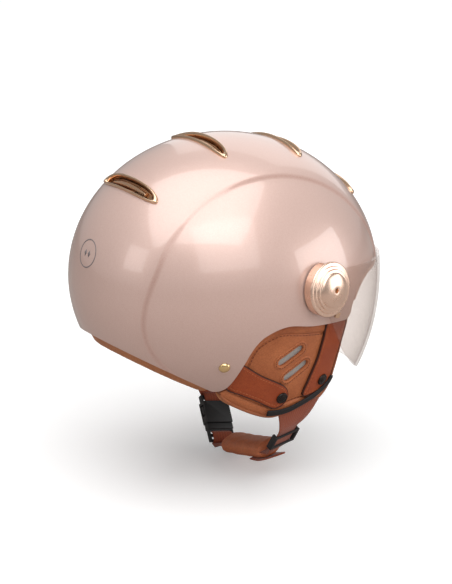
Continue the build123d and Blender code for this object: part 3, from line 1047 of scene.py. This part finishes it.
def ventPlate(name, spot, number):
    origin, across, ahead, normal = spot
    rings = []
    for inward, lift in ventShape["plate"]:
        line = ventOutline(inward)
        rings.append([onSkin(origin, x, y, lift, across, ahead, normal) for x, y in line])
    newPiece(name, loft(name, rings), "ventBronze", "shell", [f"vent_insert_{number}"])


def ventBar(spot, number):
    # a raised bar along the plate's middle, and the ribs across it
    origin, across, ahead, normal = spot
    reach, steps = ventShape["barReach"], 40
    bar, halves = [], []
    for i in range(steps + 1):
        x = -reach + 2 * reach * i / steps
        y = -2.5 + 0.9 * (x / reach) ** 2
        bar.append(onSkin(origin, x, y, -2.0, across, ahead, normal))
        halves.append(0.0019 * math.sqrt(max(0.06, 1 - (2 * i / steps - 1) ** 2)))
    ridge = ribbon(f"ventBar{number}", bar, [ahead] * len(bar), halves, 0.0007, 12, 2.6)
    newPiece(f"ventBar{number}", ridge, "ventGold", "shell")
    ups = [shellNormal(p) for p in bar]
    ribs = runMesh(f"ventRibs{number}", ribTree, [bar], [ups], ventShape["ribs"], "ventBronze")
    newPiece(f"ventRibs{number}", ribs, None, "shell")


def makeVents():
    for number, place in enumerate(ventShape["places"], 1):
        spot = ventFrame(place)
        ventRim(f"ventFrame{number}", spot, number)
        ventPlate(f"ventPlate{number}", spot, number)
        ventBar(spot, number)


rearMark = {
    "place": (128.4, 36.5), "ring": 11.0, "line": 0.42, "lift": 0.12, "lozenge": (3.4, 5.6), "gap": 2.6,
}


def makeMark():
    # a plain ring round two small lozenges, printed on the rear
    origin, across, ahead, normal = ventFrame(rearMark["place"])

    def flat(name, line, hole=None):
        lifts = ((line, 0.0), (line, rearMark["lift"]))
        if hole:
            lifts += ((hole, rearMark["lift"]), (hole, 0.0))
        rings = [[onSkin(origin, x, y, lift, across, ahead, normal) for x, y in row] for row, lift in lifts]
        return loft(name, rings, joined=bool(hole), caps=not hole)

    def circle(radius):
        return [(radius * math.cos(math.pi * i / 36), radius * math.sin(math.pi * i / 36)) for i in range(72)]

    wide, high = rearMark["lozenge"]
    parts = [
        flat(
            "markRing", circle(rearMark["ring"] + rearMark["line"]),
            circle(rearMark["ring"] - rearMark["line"]),
        )
    ]
    for side in (-1, 1):
        middle = side * rearMark["gap"]
        parts.append(
            flat(
                "markLozenge",
                [(middle + wide * u / 2, high * v / 2) for u, v in ((1, 0), (0, 1), (-1, 0), (0, -1))],
            )
        )
    newPiece("rearMark", joinMeshes("rearMark", parts), "print", "shell")


makeVents()
makeMark()
print("vents and rear mark made")


def frameAt(origin, facing, rear=(0, 1, 0)):
    normal = Vector(facing).normalized()
    ahead = Vector(rear)
    ahead = (ahead - normal * ahead.dot(normal)).normalized()
    return origin, ahead, normal.cross(ahead), normal


def lathe(name, spot, profile, count=96, closed=True):
    # a profile of (radius, height) turned about the spot's normal
    origin, ahead, side, normal = spot
    rings = []
    for radius, height in profile:
        ring = []
        for k in range(count):
            a = 2 * math.pi * k / count
            ring.append(
                origin + (
                    ahead * math.cos(a) + side * math.sin(a)
                ) * (radius * 0.001) + normal * (height * 0.001)
            )
        rings.append(ring)
    mesh = loft(name, rings, joined=closed, caps=False)
    sharpen(mesh, 40)
    return mesh


capShape = {
    "level": 112.9,
    "y": -25,
    "z": 9.7,
    "facing": (0.98, -0.18, 0.07),
    "face": (
        (2.0, 3.2), (2.0, 6.8), (2.15, 7.05), (2.5, 7.12), (4.6, 7.0), (7.2, 6.62), (10.4, 5.85),
        (12.5, 5.12),
        (13.4, 4.72), (13.75, 4.4), (13.85, 3.95), (14.0, 3.62), (14.35, 3.46), (15.6, 3.42), (16.15, 3.32),
        (16.42, 3.05), (16.48, 2.5), (16.62, 2.16), (17.0, 2.02), (18.0, 2.0), (18.45, 1.9), (18.68, 1.6),
        (18.75, 1.0), (18.95, 0.72), (19.4, 0.62), (20.7, 0.6), (21.35, 0.48), (21.8, 0.12), (22.0, -0.45),
        (21.95, -1.3), (20.6, -1.4), (16.0, -0.3), (11.5, 2.4),
    ),
    "skirt": 21.5,
    "skirtWall": 1.5,
}


def capSkirt(name, spot):
    # the wall between the cap and the shell, round the rear half
    origin, ahead, across, normal = spot
    outer = capShape["skirt"]
    inner = outer - capShape["skirtWall"]
    rings = []
    for i in range(57):
        a = math.radians(-81 + 162 * i / 56)
        ring = []
        for radius, low in ((outer, False), (outer, True), (inner, True), (inner, False)):
            x, y = radius * math.cos(a), radius * math.sin(a)
            if low:
                ring.append(onSkin(origin, x, y, 0.35, ahead, across, normal))
            else:
                ring.append(origin + (ahead * x + across * y) * 0.001 - normal * 0.0012)
        rings.append(ring)
    mesh = loft(name, rings)
    sharpen(mesh, 40)
    newPiece(name, mesh, "capGold", "shell")


def makeCaps():
    for side, sign in (("right", -1), ("left", 1)):
        look = capShape
        facing = (sign * look["facing"][0], look["facing"][1], look["facing"][2])
        spot = frameAt(at(sign * look["level"], look["y"], look["z"]), facing)
        turnedCap = lathe(f"cap_{side}", spot, look["face"])
        newPiece(f"cap_{side}", turnedCap, "capGold", "shell", [f"pivot_cap_{side}"])
        capSkirt(f"capSkirt_{side}", spot)
        softened(f"capSeat_{side}", f"pivot_base_{side}", "basePlastic", 0.0003, "shell")
    plain = {
        "pivot_bolts": "brassGold", "thread_inserts": "brassGold",
        "pivot_washers": "steel", "rivet_washers": "steel",
    }
    for node, finish in plain.items():
        nodes[node].material_slots[0].material = finishes[finish]


buttons = {
    "rivet": {
        "left": (85.9, 56.4, -47.2),
        "facing": (0.823, 0.379, -0.421),
        "face": (
            (0.05, 2.62), (1.2, 2.56), (2.4, 2.3), (3.4, 1.8), (4.1, 1.15), (4.5, 0.5), (4.6, 0.15),
            (2.0, 0.1), (1.9, -5.0), (0.05, -5.0),
        ),
    },
    "snapFace": (
        (0.05, 2.0), (1.6, 1.95), (2.6, 1.7), (3.0, 1.35), (3.2, 1.3), (3.5, 1.5), (4.0, 1.62),
        (4.5, 1.4), (4.85, 0.9), (4.95, 0.2), (0.05, 0.1),
    ),
    "snaps": ((-41, -77.5), (0, -84.6)),
}


def makeButtons():
    parts = []
    look = buttons["rivet"]
    for sign in (-1, 1):
        x, y, z = look["left"]
        facing = (sign * look["facing"][0], *look["facing"][1:])
        parts.append(lathe("rivetPart", frameAt(at(sign * x, y, z), facing), look["face"], 40))
    newPiece("rivets", joinMeshes("rivets", parts), "brassGold", "shell", ["strap_rivets"])
    parts = []
    for y, z in buttons["snaps"]:
        for sign in (-1, 1):
            p, n = flapPlace(y, z, 2.75, sign), flapFacing(y, sign)
            parts.append(lathe("snapPart", frameAt(p, n), buttons["snapFace"], 40))
    newPiece("snaps", joinMeshes("snaps", parts), "darkBronze", "shell", ["snap_studs"])


flapShape = {
    "radius": 130,
    "middle": (-20.5, -8, 30),
    "lean": math.atan(0.3),
    "edge": (
        (-57, -17), (-61, -30), (-59.5, -48), (-57.8, -70), (-53, -89), (-38, -98.5),
        (-16, -98.6), (3, -101.5), (20, -96), (40, -84.5), (49, -76),
    ),
    "top": (
        (44.6, -70), (42, -62), (41.4, -50.5), (36.2, -33),
        (25.6, -22.8), (9.5, -17.4), (-15, -21.4), (-40, -24),
    ),
    "heart": (-8, -58),
    "slots": ((-2.5, -46.8), (-10.6, -62.2)),
    "slotTurn": -32,
    "slotLong": 24,
    "slotWide": 7.0,
    "frontStrap": (
        (-33.5, -21), (-45, -21.5), (-56, -23), (-58.2, -34), (-56.6, -50), (-54.2, -66), (-52, -80),
        (-48.5, -87.5), (-36, -88.5), (-22.5, -87.5), (-25.5, -74), (-30.5, -56), (-32.5, -38),
    ),
    "rearStrap": (
        (43.5, -45.5), (36.5, -50), (21.5, -61), (4, -71), (-3.6, -77), (-6.2, -84), (-3.8, -90.5),
        (3.2, -93.8), (10.5, -91), (21, -84.4), (37, -75.8), (46.5, -70.5), (45.5, -58),
    ),
    "band": (
        (11, -97.0), (1, -98.0), (-9, -97.4), (-20, -94.6),
        (-33, -90.9), (-44, -86.6), (-50.5, -82.4), (-53.2, -77.6),
    ),
    # sections as (inset, share of the way out, depth)
    "face": (
        (9, 0.0, -1.6), (9, 0.5, -1.6), (0.4, 1, -1.6), (0, 1, -1.2), (0, 1, -0.5), (0.5, 1, 0.1),
        (1.8, 1, 0.7), (3.8, 1, 1.15), (5.8, 1, 0.95), (7.2, 1, 0.3), (7.9, 1, -0.5), (8.2, 1, -0.6),
        (8.6, 1, -0.4), (9.6, 1, 0.1), (10.4, 1, 0.25), (10.4, 0.86, 0.3), (10.4, 0.66, 0.3),
        (10.4, 0.42, 0.3), (10.4, 0.2, 0.3), (10.4, 0.0, 0.3),
    ),
    "pad": (
        (4, 0.0, -10.2), (4, 0.35, -10.3), (4, 0.7, -9.9), (3, 0.92, -9.0), (1.5, 1, -7.6), (0.6, 1, -6.2),
        (0.4, 1, -4.8), (0.9, 1, -3.4), (2.4, 1, -2.6), (4, 0.6, -2.5), (4, 0.0, -2.5),
    ),
    "strapFace": (
        (3, 0.0, 0.9), (0.6, 1, 0.9), (0.1, 1, 1.1), (0, 1, 1.7), (0.25, 1, 2.2), (0.8, 1, 2.5),
        (1.6, 1, 2.62), (2.2, 1, 2.5), (2.7, 1, 2.62), (3, 0.7, 2.7), (3, 0.35, 2.72), (3, 0, 2.72),
    ),
}


def flapPlace(y, z, depth, sign=1):
    shape = flapShape
    mx, my, mz = shape["middle"]
    out = math.sqrt((shape["radius"] + depth) ** 2 - (y - my) ** 2)
    x = mx + (out + (z - mz) * math.sin(shape["lean"])) / math.cos(shape["lean"])
    return at(sign * x, y, z)


def flapFacing(y, sign=1):
    shape = flapShape
    across = y - shape["middle"][1]
    out = math.sqrt(shape["radius"] ** 2 - across**2)
    lean = shape["lean"]
    return Vector((sign * math.cos(lean) * out, across, -math.sin(lean) * out)).normalized()


def closedLine(points, steps):
    return [(p[0], p[1]) for p in smoothPath([(y, z, 0) for y, z in points], steps, closed=True)]


def insetLine(line, amount):
    made = []
    count = len(line)
    area = sum(
        line[i][0] * line[(i + 1) % count][1] - line[(i + 1) % count][0] * line[i][1] for i in range(count)
    )
    turn = 1 if area > 0 else -1
    for i, (y, z) in enumerate(line):
        before, after = line[i - 2], line[(i + 2) % count]
        ry, rz = after[0] - before[0], after[1] - before[1]
        size = math.hypot(ry, rz) or 1
        made.append((y - turn * amount * rz / size, z + turn * amount * ry / size))
    return made


def patch(name, line, heart, levels, sign=1, thin=None):
    # a shaped pad from rings of its outline: each level is (inset, share, depth), from the back's middle
    # to the front's
    rings = []
    for inset, share, depth in levels:
        ring = []
        for y, z in insetLine(line, inset):
            py = heart[0] + (y - heart[0]) * share
            pz = heart[1] + (z - heart[1]) * share
            lift = depth * (thin(py, pz) if thin else 1)
            ring.append(flapPlace(py, pz, lift, sign))
        rings.append(ring)
    return loft(name, rings)


def slotLine(middle, grow=0.0, steps=8):
    half = flapShape["slotLong"] / 2 - flapShape["slotWide"] / 2
    radius = flapShape["slotWide"] / 2 + grow
    turn = math.radians(flapShape["slotTurn"])
    made = []
    for end, start in ((1, -90), (-1, 90)):
        for i in range(steps + 1):
            a = math.radians(start + 180 * i / steps)
            u, v = end * half + radius * math.cos(a), radius * math.sin(a)
            y = middle[0] + u * math.cos(turn) - v * math.sin(turn)
            z = middle[1] + u * math.sin(turn) + v * math.cos(turn)
            made.append((y, z))
    return made


def stitchRuns(name, lines, depth, finish, body, spacing=0.0032, closed=False):
    paths, ups = [], []
    for sign in (-1, 1):
        for line in lines:
            row = line + [line[0]] if closed else line
            paths.append([flapPlace(y, z, depth, sign) for y, z in row])
            ups.append([flapFacing(y, sign) for y, z in row])
    sizes = {"Spacing": spacing, "Length": spacing * 0.72, "Width": 0.0006, "Height": 0.0005}
    mesh = runMesh(name, stitchTree, paths, ups, sizes, finish)
    return newPiece(name, mesh, None, body)


def cordAlong(name, lines, depth, halves, finish):
    # a closed flat cord laid along each outline, on both sides of the head
    parts = []
    for sign in (-1, 1):
        for line in lines:
            places = [flapPlace(y, z, depth, sign) for y, z in line]
            rings = []
            for i, (y, z) in enumerate(line):
                n = flapFacing(y, sign)
                ahead = (places[(i + 1) % len(line)] - places[i - 1]).normalized()
                wide, deep = halves[0] * 0.001, halves[1] * 0.001
                rings.append(sectionRing(places[i], ahead.cross(n), n, wide, deep, 12, 2.4))
            parts.append(loft(name, rings, joined=True, caps=False))
    return newPiece(name, joinMeshes(name, parts), finish, "shell")


def flapFace(side, sign, line):
    name = f"flapFace_{side}"
    mesh = patch(name, line, flapShape["heart"], flapShape["face"], sign)
    piece = newPiece(name, mesh, "flapLeather", "shell", [f"ear_flap_{side}"])
    for middle in flapShape["slots"]:
        cut(piece, prism("slotCutter", slotLine(middle), *sorted((0, sign * 0.2))))
    piece.data.materials.clear()
    piece.data.materials.append(finishes["flapLeather"])
    piece.data.polygons.foreach_set("use_smooth", [True] * len(piece.data.polygons))
    sharpen(piece.data, 42)
    nodes[f"flap_mesh_{side}"].material_slots[0].material = finishes["net"]


def flapPad(side, sign, line):
    name = f"flapPad_{side}"
    mesh = patch(name, line, flapShape["heart"], flapShape["pad"], sign)
    newPiece(name, mesh, "padKnit", "shell", [f"flap_pad_{side}"])


def flapStrap(name, node, line, heart, sign, thin):
    mesh = patch(name, line, heart, flapShape["strapFace"], sign, thin)
    newPiece(name, mesh, "strapLeather", "shell", [node])


def topThin(_, z):
    # the front strap thins towards its top, under the shell
    return 0.25 + 0.75 * ease((-23 - z) / 7)


def rearThin(y, _):
    return 0.3 + 0.7 * ease((44.5 - y) / 6)


def sewFlaps(line, front, rear):
    slots = flapShape["slots"]
    rings = [slotLine(middle, 2.0) for middle in slots]
    cordAlong("slotRings", rings, 0.15, (1.9, 0.75), "flapLeather")
    edges = [insetLine(front, 0.1), insetLine(rear, 0.1)]
    cordAlong("strapEdges", edges, 1.2, (0.55, 1.3), "strapEdge")
    seam = [insetLine(line, 9.3)]
    stitchRuns("flapStitches", seam, 0.12, "darkThread", "shell", closed=True)
    rings = [slotLine(middle, 2.1) for middle in slots]
    stitchRuns("slotStitches", rings, 0.95, "darkThread", "shell", 0.0022, True)
    edges = [insetLine(front, 2.3), insetLine(rear, 2.3)]
    stitchRuns("strapStitches", edges, 2.6, "thread", "shell", 0.003, True)


def makeFlaps():
    line = closedLine(flapShape["edge"] + flapShape["top"], 8)
    front = closedLine(flapShape["frontStrap"], 6)
    rear = closedLine(flapShape["rearStrap"], 6)
    for side, sign in (("right", -1), ("left", 1)):
        flapFace(side, sign, line)
        flapPad(side, sign, line)
        flapStrap(f"frontStrap_{side}", f"front_strap_{side}", front, (-43, -55), sign, topThin)
        flapStrap(f"rearStrap_{side}", f"rear_strap_{side}", rear, (20, -72), sign, rearThin)
        makeEdges(side, sign)
    sewFlaps(line, front, rear)


def makeEdges(side, sign):
    shape = flapShape
    run = [(p[0], p[1]) for p in smoothPath([(y, z, 0) for y, z in shape["edge"]], 10)]

    def edgeTube(name, out, depth, halfDeep, halfOut, finish, stands=()):
        # a rolled edge that follows the flap's front and bottom
        rings = []
        moved = []
        for i, (y, z) in enumerate(run):
            before, after = run[max(i - 1, 0)], run[min(i + 1, len(run) - 1)]
            ry, rz = after[0] - before[0], after[1] - before[1]
            size = math.hypot(ry, rz)
            moved.append((y + out * rz / size, z - out * ry / size))
        places = [flapPlace(y, z, depth, sign) for y, z in moved]
        for i, (y, z) in enumerate(moved):
            n = flapFacing(y, sign)
            ahead = (places[min(i + 1, len(places) - 1)] - places[max(i - 1, 0)]).normalized()
            fade = 0.35 + 0.65 * min(1.0, i / 5, (len(places) - 1 - i) / 5)
            deep, wide = halfDeep * fade * 0.001, halfOut * fade * 0.001
            rings.append(sectionRing(places[i], n, ahead.cross(n), deep, wide, 14, 2.3))
        return newPiece(name, loft(name, rings), finish, "shell", stands)

    edgeTube(f"flapPiping_{side}", 0.6, -0.9, 1.7, 1.5, "edgeLeather", [f"flap_binding_{side}"])
    edgeTube(f"flapRoll_{side}", 0.2, -6.0, 3.4, 1.9, "rollLeather")
    path = smoothPath([(y, z, 0) for y, z in shape["band"]], 8)
    places = [flapPlace(p[0], p[1], 3.45, sign) for p in path]
    ways = []
    for i, p in enumerate(path):
        n = flapFacing(p[0], sign)
        ahead = (places[min(i + 1, len(path) - 1)] - places[max(i - 1, 0)]).normalized()
        ways.append(ahead.cross(n).normalized())
    halves = [0.0027] * len(path)
    band = ribbon(f"flapBand_{side}", places, ways, halves, 0.0008, 16, 3.0)
    newPiece(f"flapBand_{side}", band, "bandLeather", "shell", [f"flap_band_{side}"])


makeCaps()
makeFlaps()
makeButtons()
print("caps, flaps and buttons made")

strapShape = {
    "right": (
        ((-77.5, -21, -94), (0, -1, 0.05), 21), ((-73.6, -20.2, -105), (0, -1, 0.14), 17.6),
        ((-69.2, -18.5, -116.5), (0, -0.945, 0.32), 12.2), ((-65.1, -18, -123.2), (0, -0.936, 0.353), 10.6),
        ((-61, -17.5, -130), (0, -0.936, 0.353), 10.5), ((-57.9, -17.1, -135.1), (0, -0.936, 0.353), 10.5),
        ((-54.6, -16.8, -140.4), (0, -0.94, 0.34), 10.6), ((-44, -19, -145), (0, -0.97, 0.24), 11),
        ((-12, -18.5, -153), (0, -0.97, 0.24), 11), ((20, -18, -161), (0, -0.97, 0.1), 11),
        ((28, -19.3, -166.2), (-0.03, -0.985, -0.05), 10.6),
        ((33.6, -20.3, -167.7), (-0.068, -0.982, -0.176), 10.2),
    ),
    "left": (
        ((77.5, -21, -94), (0, -1, 0.0), 20), ((73, -22, -107), (-0.02, -1, -0.06), 16),
        ((67.5, -25.5, -122), (-0.05, -0.99, -0.15), 11.2),
        ((64.2, -28.6, -133.2), (-0.068, -0.982, -0.176), 10.2),
    ),
    "tail": (
        ((-24, -19.5, -158.6), (0, -0.95, 0.1), 10.6), ((-35, -20, -156.4), (0, -0.95, 0.1), 10.8),
        ((-43, -20.6, -153.2), (0, -0.95, 0.1), 10.2), ((-50, -22, -149.6), (0, -0.95, 0.1), 6.5),
        ((-54.5, -23, -147), (0, -0.95, 0.1), 1.6),
    ),
    "sleeve": (
        (-41.5, -19, -145.6), (-30, -18.9, -149), (-12, -18.5, -153.6), (6, -18.2, -157.6), (17.5, -18, -160.4),
    ),
    "sleeveWay": (0, -0.97, 0.24),
    "sleeveHalf": (11.9, 7.2),
    # sewn loops over the buckle's bars, as (height up the buckle, lift off it)
    "plugLoop": ((-23.4, -0.6), (-21.5, -2.3), (-18, -3.0), (-14.6, -2.7), (-12.9, -0.9)),
    "socketLoop": ((24.5, -0.4), (22.5, -2.2), (19.5, -2.7), (16.8, -2.2), (15.2, -0.6)),
    "buckleLow": (36, -21, -165),
    "buckleHigh": (62, -28, -136),
}


def strapPiece(name, rows, stands, steps=12, thick=0.8):
    path = smoothPath([at(*row[0]) for row in rows], steps)
    ways = spread([Vector(row[1]) for row in rows], steps)
    halves = spread([row[2] * 0.001 for row in rows], steps)
    mesh = ribbon(name, path, ways, halves, thick * 0.001, 20, 5.0)
    return newPiece(name, mesh, "webbing", "shell", stands)


def barLoop(name, run, half):
    # the webbing's sewn end, which lies over one of the buckle's bars
    spot, across, through, upward = buckleFrame()
    rows = [(tuple(spot + upward * height + through * lift), tuple(across), half) for height, lift in run]
    strapPiece(name, rows, [], 6)


def makeStraps():
    strapPiece("rightWebbing", strapShape["right"], ["chin_webbing"])
    strapPiece("leftWebbing", strapShape["left"], ["left_webbing"])
    strapPiece("looseEnd", strapShape["tail"], ["strap_tail"])
    barLoop("plugWebbing", strapShape["plugLoop"], 9.8)
    barLoop("socketWebbing", strapShape["socketLoop"], 9.4)
    makeSleeve()
    softened("sliderFrame", "slider", "blackPlastic", 0.0005, "slider")
    softened("socket", "buckle_socket", "blackPlastic", 0.0008, "shell", 3)
    softened("plug", "buckle_plug", "blackPlastic", 0.0006, "shell", 3)
    softened("prongFront", "buckle_prong_front", "blackPlastic", 0.0005, "prong_front")
    softened("prongRear", "buckle_prong_rear", "blackPlastic", 0.0005, "prong_rear")


def buckleFrame():
    # the buckle's middle, its width, its thickness and the way up the strap
    low, high = Vector(strapShape["buckleLow"]), Vector(strapShape["buckleHigh"])
    upward = (high - low).normalized()
    across = Vector((0, -0.99, -0.1))
    across = (across - upward * across.dot(upward)).normalized()
    return (low + high) / 2, across, upward.cross(across), upward


def sleeveFrame(path, i):
    # the directions of the sleeve's width and thickness at a point of its path
    way = Vector(strapShape["sleeveWay"])
    run = (path[min(i + 1, len(path) - 1)] - path[max(i - 1, 0)]).normalized()
    across = (way - run * way.dot(run)).normalized()
    return across, run.cross(across).normalized()


def sleeveRing(path, i):
    # a soft section, rounded off at both ends and a little creased
    across, thick = sleeveFrame(path, i)
    wide, deep = strapShape["sleeveHalf"]
    end = min(i, len(path) - 1 - i) / 7
    plump = math.sqrt(max(0.12, 1 - (1 - min(end, 1.0)) ** 2)) if end < 1 else 1.0
    ring = []
    for k in range(40):
        a = 2 * math.pi * k / 40
        u = math.copysign(abs(math.cos(a)) ** 0.85, math.cos(a))
        v = math.copysign(abs(math.sin(a)) ** 0.85, math.sin(a))
        crease = noise.noise(Vector((i * 0.16, 2.5 * math.cos(a), 2.5 * math.sin(a)))) * 0.45
        out = across * (u * (wide * plump + crease) * 0.001) + thick * (v * (deep * plump + crease) * 0.001)
        ring.append(path[i] + out)
    return ring


def makeSleeve():
    path = smoothPath([at(*p) for p in strapShape["sleeve"]], 16)
    rings = [sleeveRing(path, i) for i in range(len(path))]
    mesh = loft("chinSleeve", rings)
    newPiece("chinSleeve", mesh, "sleeveLeather", "shell", ["chin_sleeve"])
    # the sleeve's seam along its lower edge
    seam, ups = [], []
    for i in range(6, len(path) - 6):
        across, thick = sleeveFrame(path, i)
        seam.append(path[i] - across * 0.0082 - thick * 0.0052)
        ups.append((-across - thick).normalized())
    sizes = {"Spacing": 0.0034, "Length": 0.0024, "Width": 0.0006, "Height": 0.0006}
    stitches = runMesh("sleeveStitches", stitchTree, [seam], [ups], sizes, "thread")
    newPiece("sleeveStitches", stitches, None, "shell")


makeStraps()
print("chin strap made")

liningShape = {
    "crownPad": {
        "node": "crown_liner", "finish": "liningKnit", "slot": "lining", "voxel": 0.003, "shrink": 0.0008,
        "cap": 0.0012, "fill": 0.5,
    },
    "browPad": {
        "node": "brow_band", "finish": "liningKnit", "slot": "lining", "voxel": 0.0025, "shrink": 0.0008,
        "cap": 0.0012, "fill": 0.6,
    },
    "neckPad": {
        "node": "neck_roll", "finish": "rollLeather", "slot": "neck_roll", "voxel": 0.003,
        "shrink": 0.001, "cap": 0.0014, "fill": 0.7,
    },
}


def swell(piece, cap):
    # cloth under a little pressure, with a limit on how far a point may move
    start = [v.co.copy() for v in piece.data.vertices]
    cloth = piece.modifiers.new("swell", "CLOTH")
    settings = cloth.settings
    settings.quality = 4
    settings.mass = 0.2
    settings.use_pressure = True
    settings.uniform_pressure_force = 4
    settings.effector_weights.gravity = 0
    settings.tension_stiffness = 8
    settings.compression_stiffness = 8
    scene = bpy.context.scene
    cloth.point_cache.frame_start = 1
    cloth.point_cache.frame_end = 14
    for step in range(1, 15):
        scene.frame_set(step)
    evaluated = piece.evaluated_get(bpy.context.evaluated_depsgraph_get())
    ends = [v.co.copy() for v in evaluated.data.vertices]
    piece.modifiers.clear()
    scene.frame_set(1)
    for v, a, b in zip(piece.data.vertices, start, ends):
        move = b - a
        if move.length > cap:
            move *= cap / move.length
        v.co = a + move


def makeLinings():
    for name, look in liningShape.items():
        piece = newPiece(name, loadPlain(look["node"]), look["finish"], "shell", [look["node"]])
        grid = piece.modifiers.new("grid", "REMESH")
        grid.mode = "VOXEL"
        grid.voxel_size = look["voxel"]
        soft = piece.modifiers.new("soft", "SMOOTH")
        soft.iterations = 3
        baked(piece)
        piece.data.materials.clear()
        piece.data.materials.append(finishes[look["finish"]])
        for v in piece.data.vertices:
            v.co -= v.normal * look["shrink"]
        swell(piece, look["cap"])
        piece.data.polygons.foreach_set("use_smooth", [True] * len(piece.data.polygons))
    nodes["foam_liner"].material_slots[0].material = finishes["foam"]
    nodes["brow_trim"].material_slots[0].material = finishes["trimRubber"]


makeLinings()
print("linings made")

nodes["visor"].material_slots[0].material = finishes["shield"]
nodes["visor_tabs"].material_slots[0].material = finishes["ventGold"]

bpy.context.scene.view_settings.view_transform = "Standard"
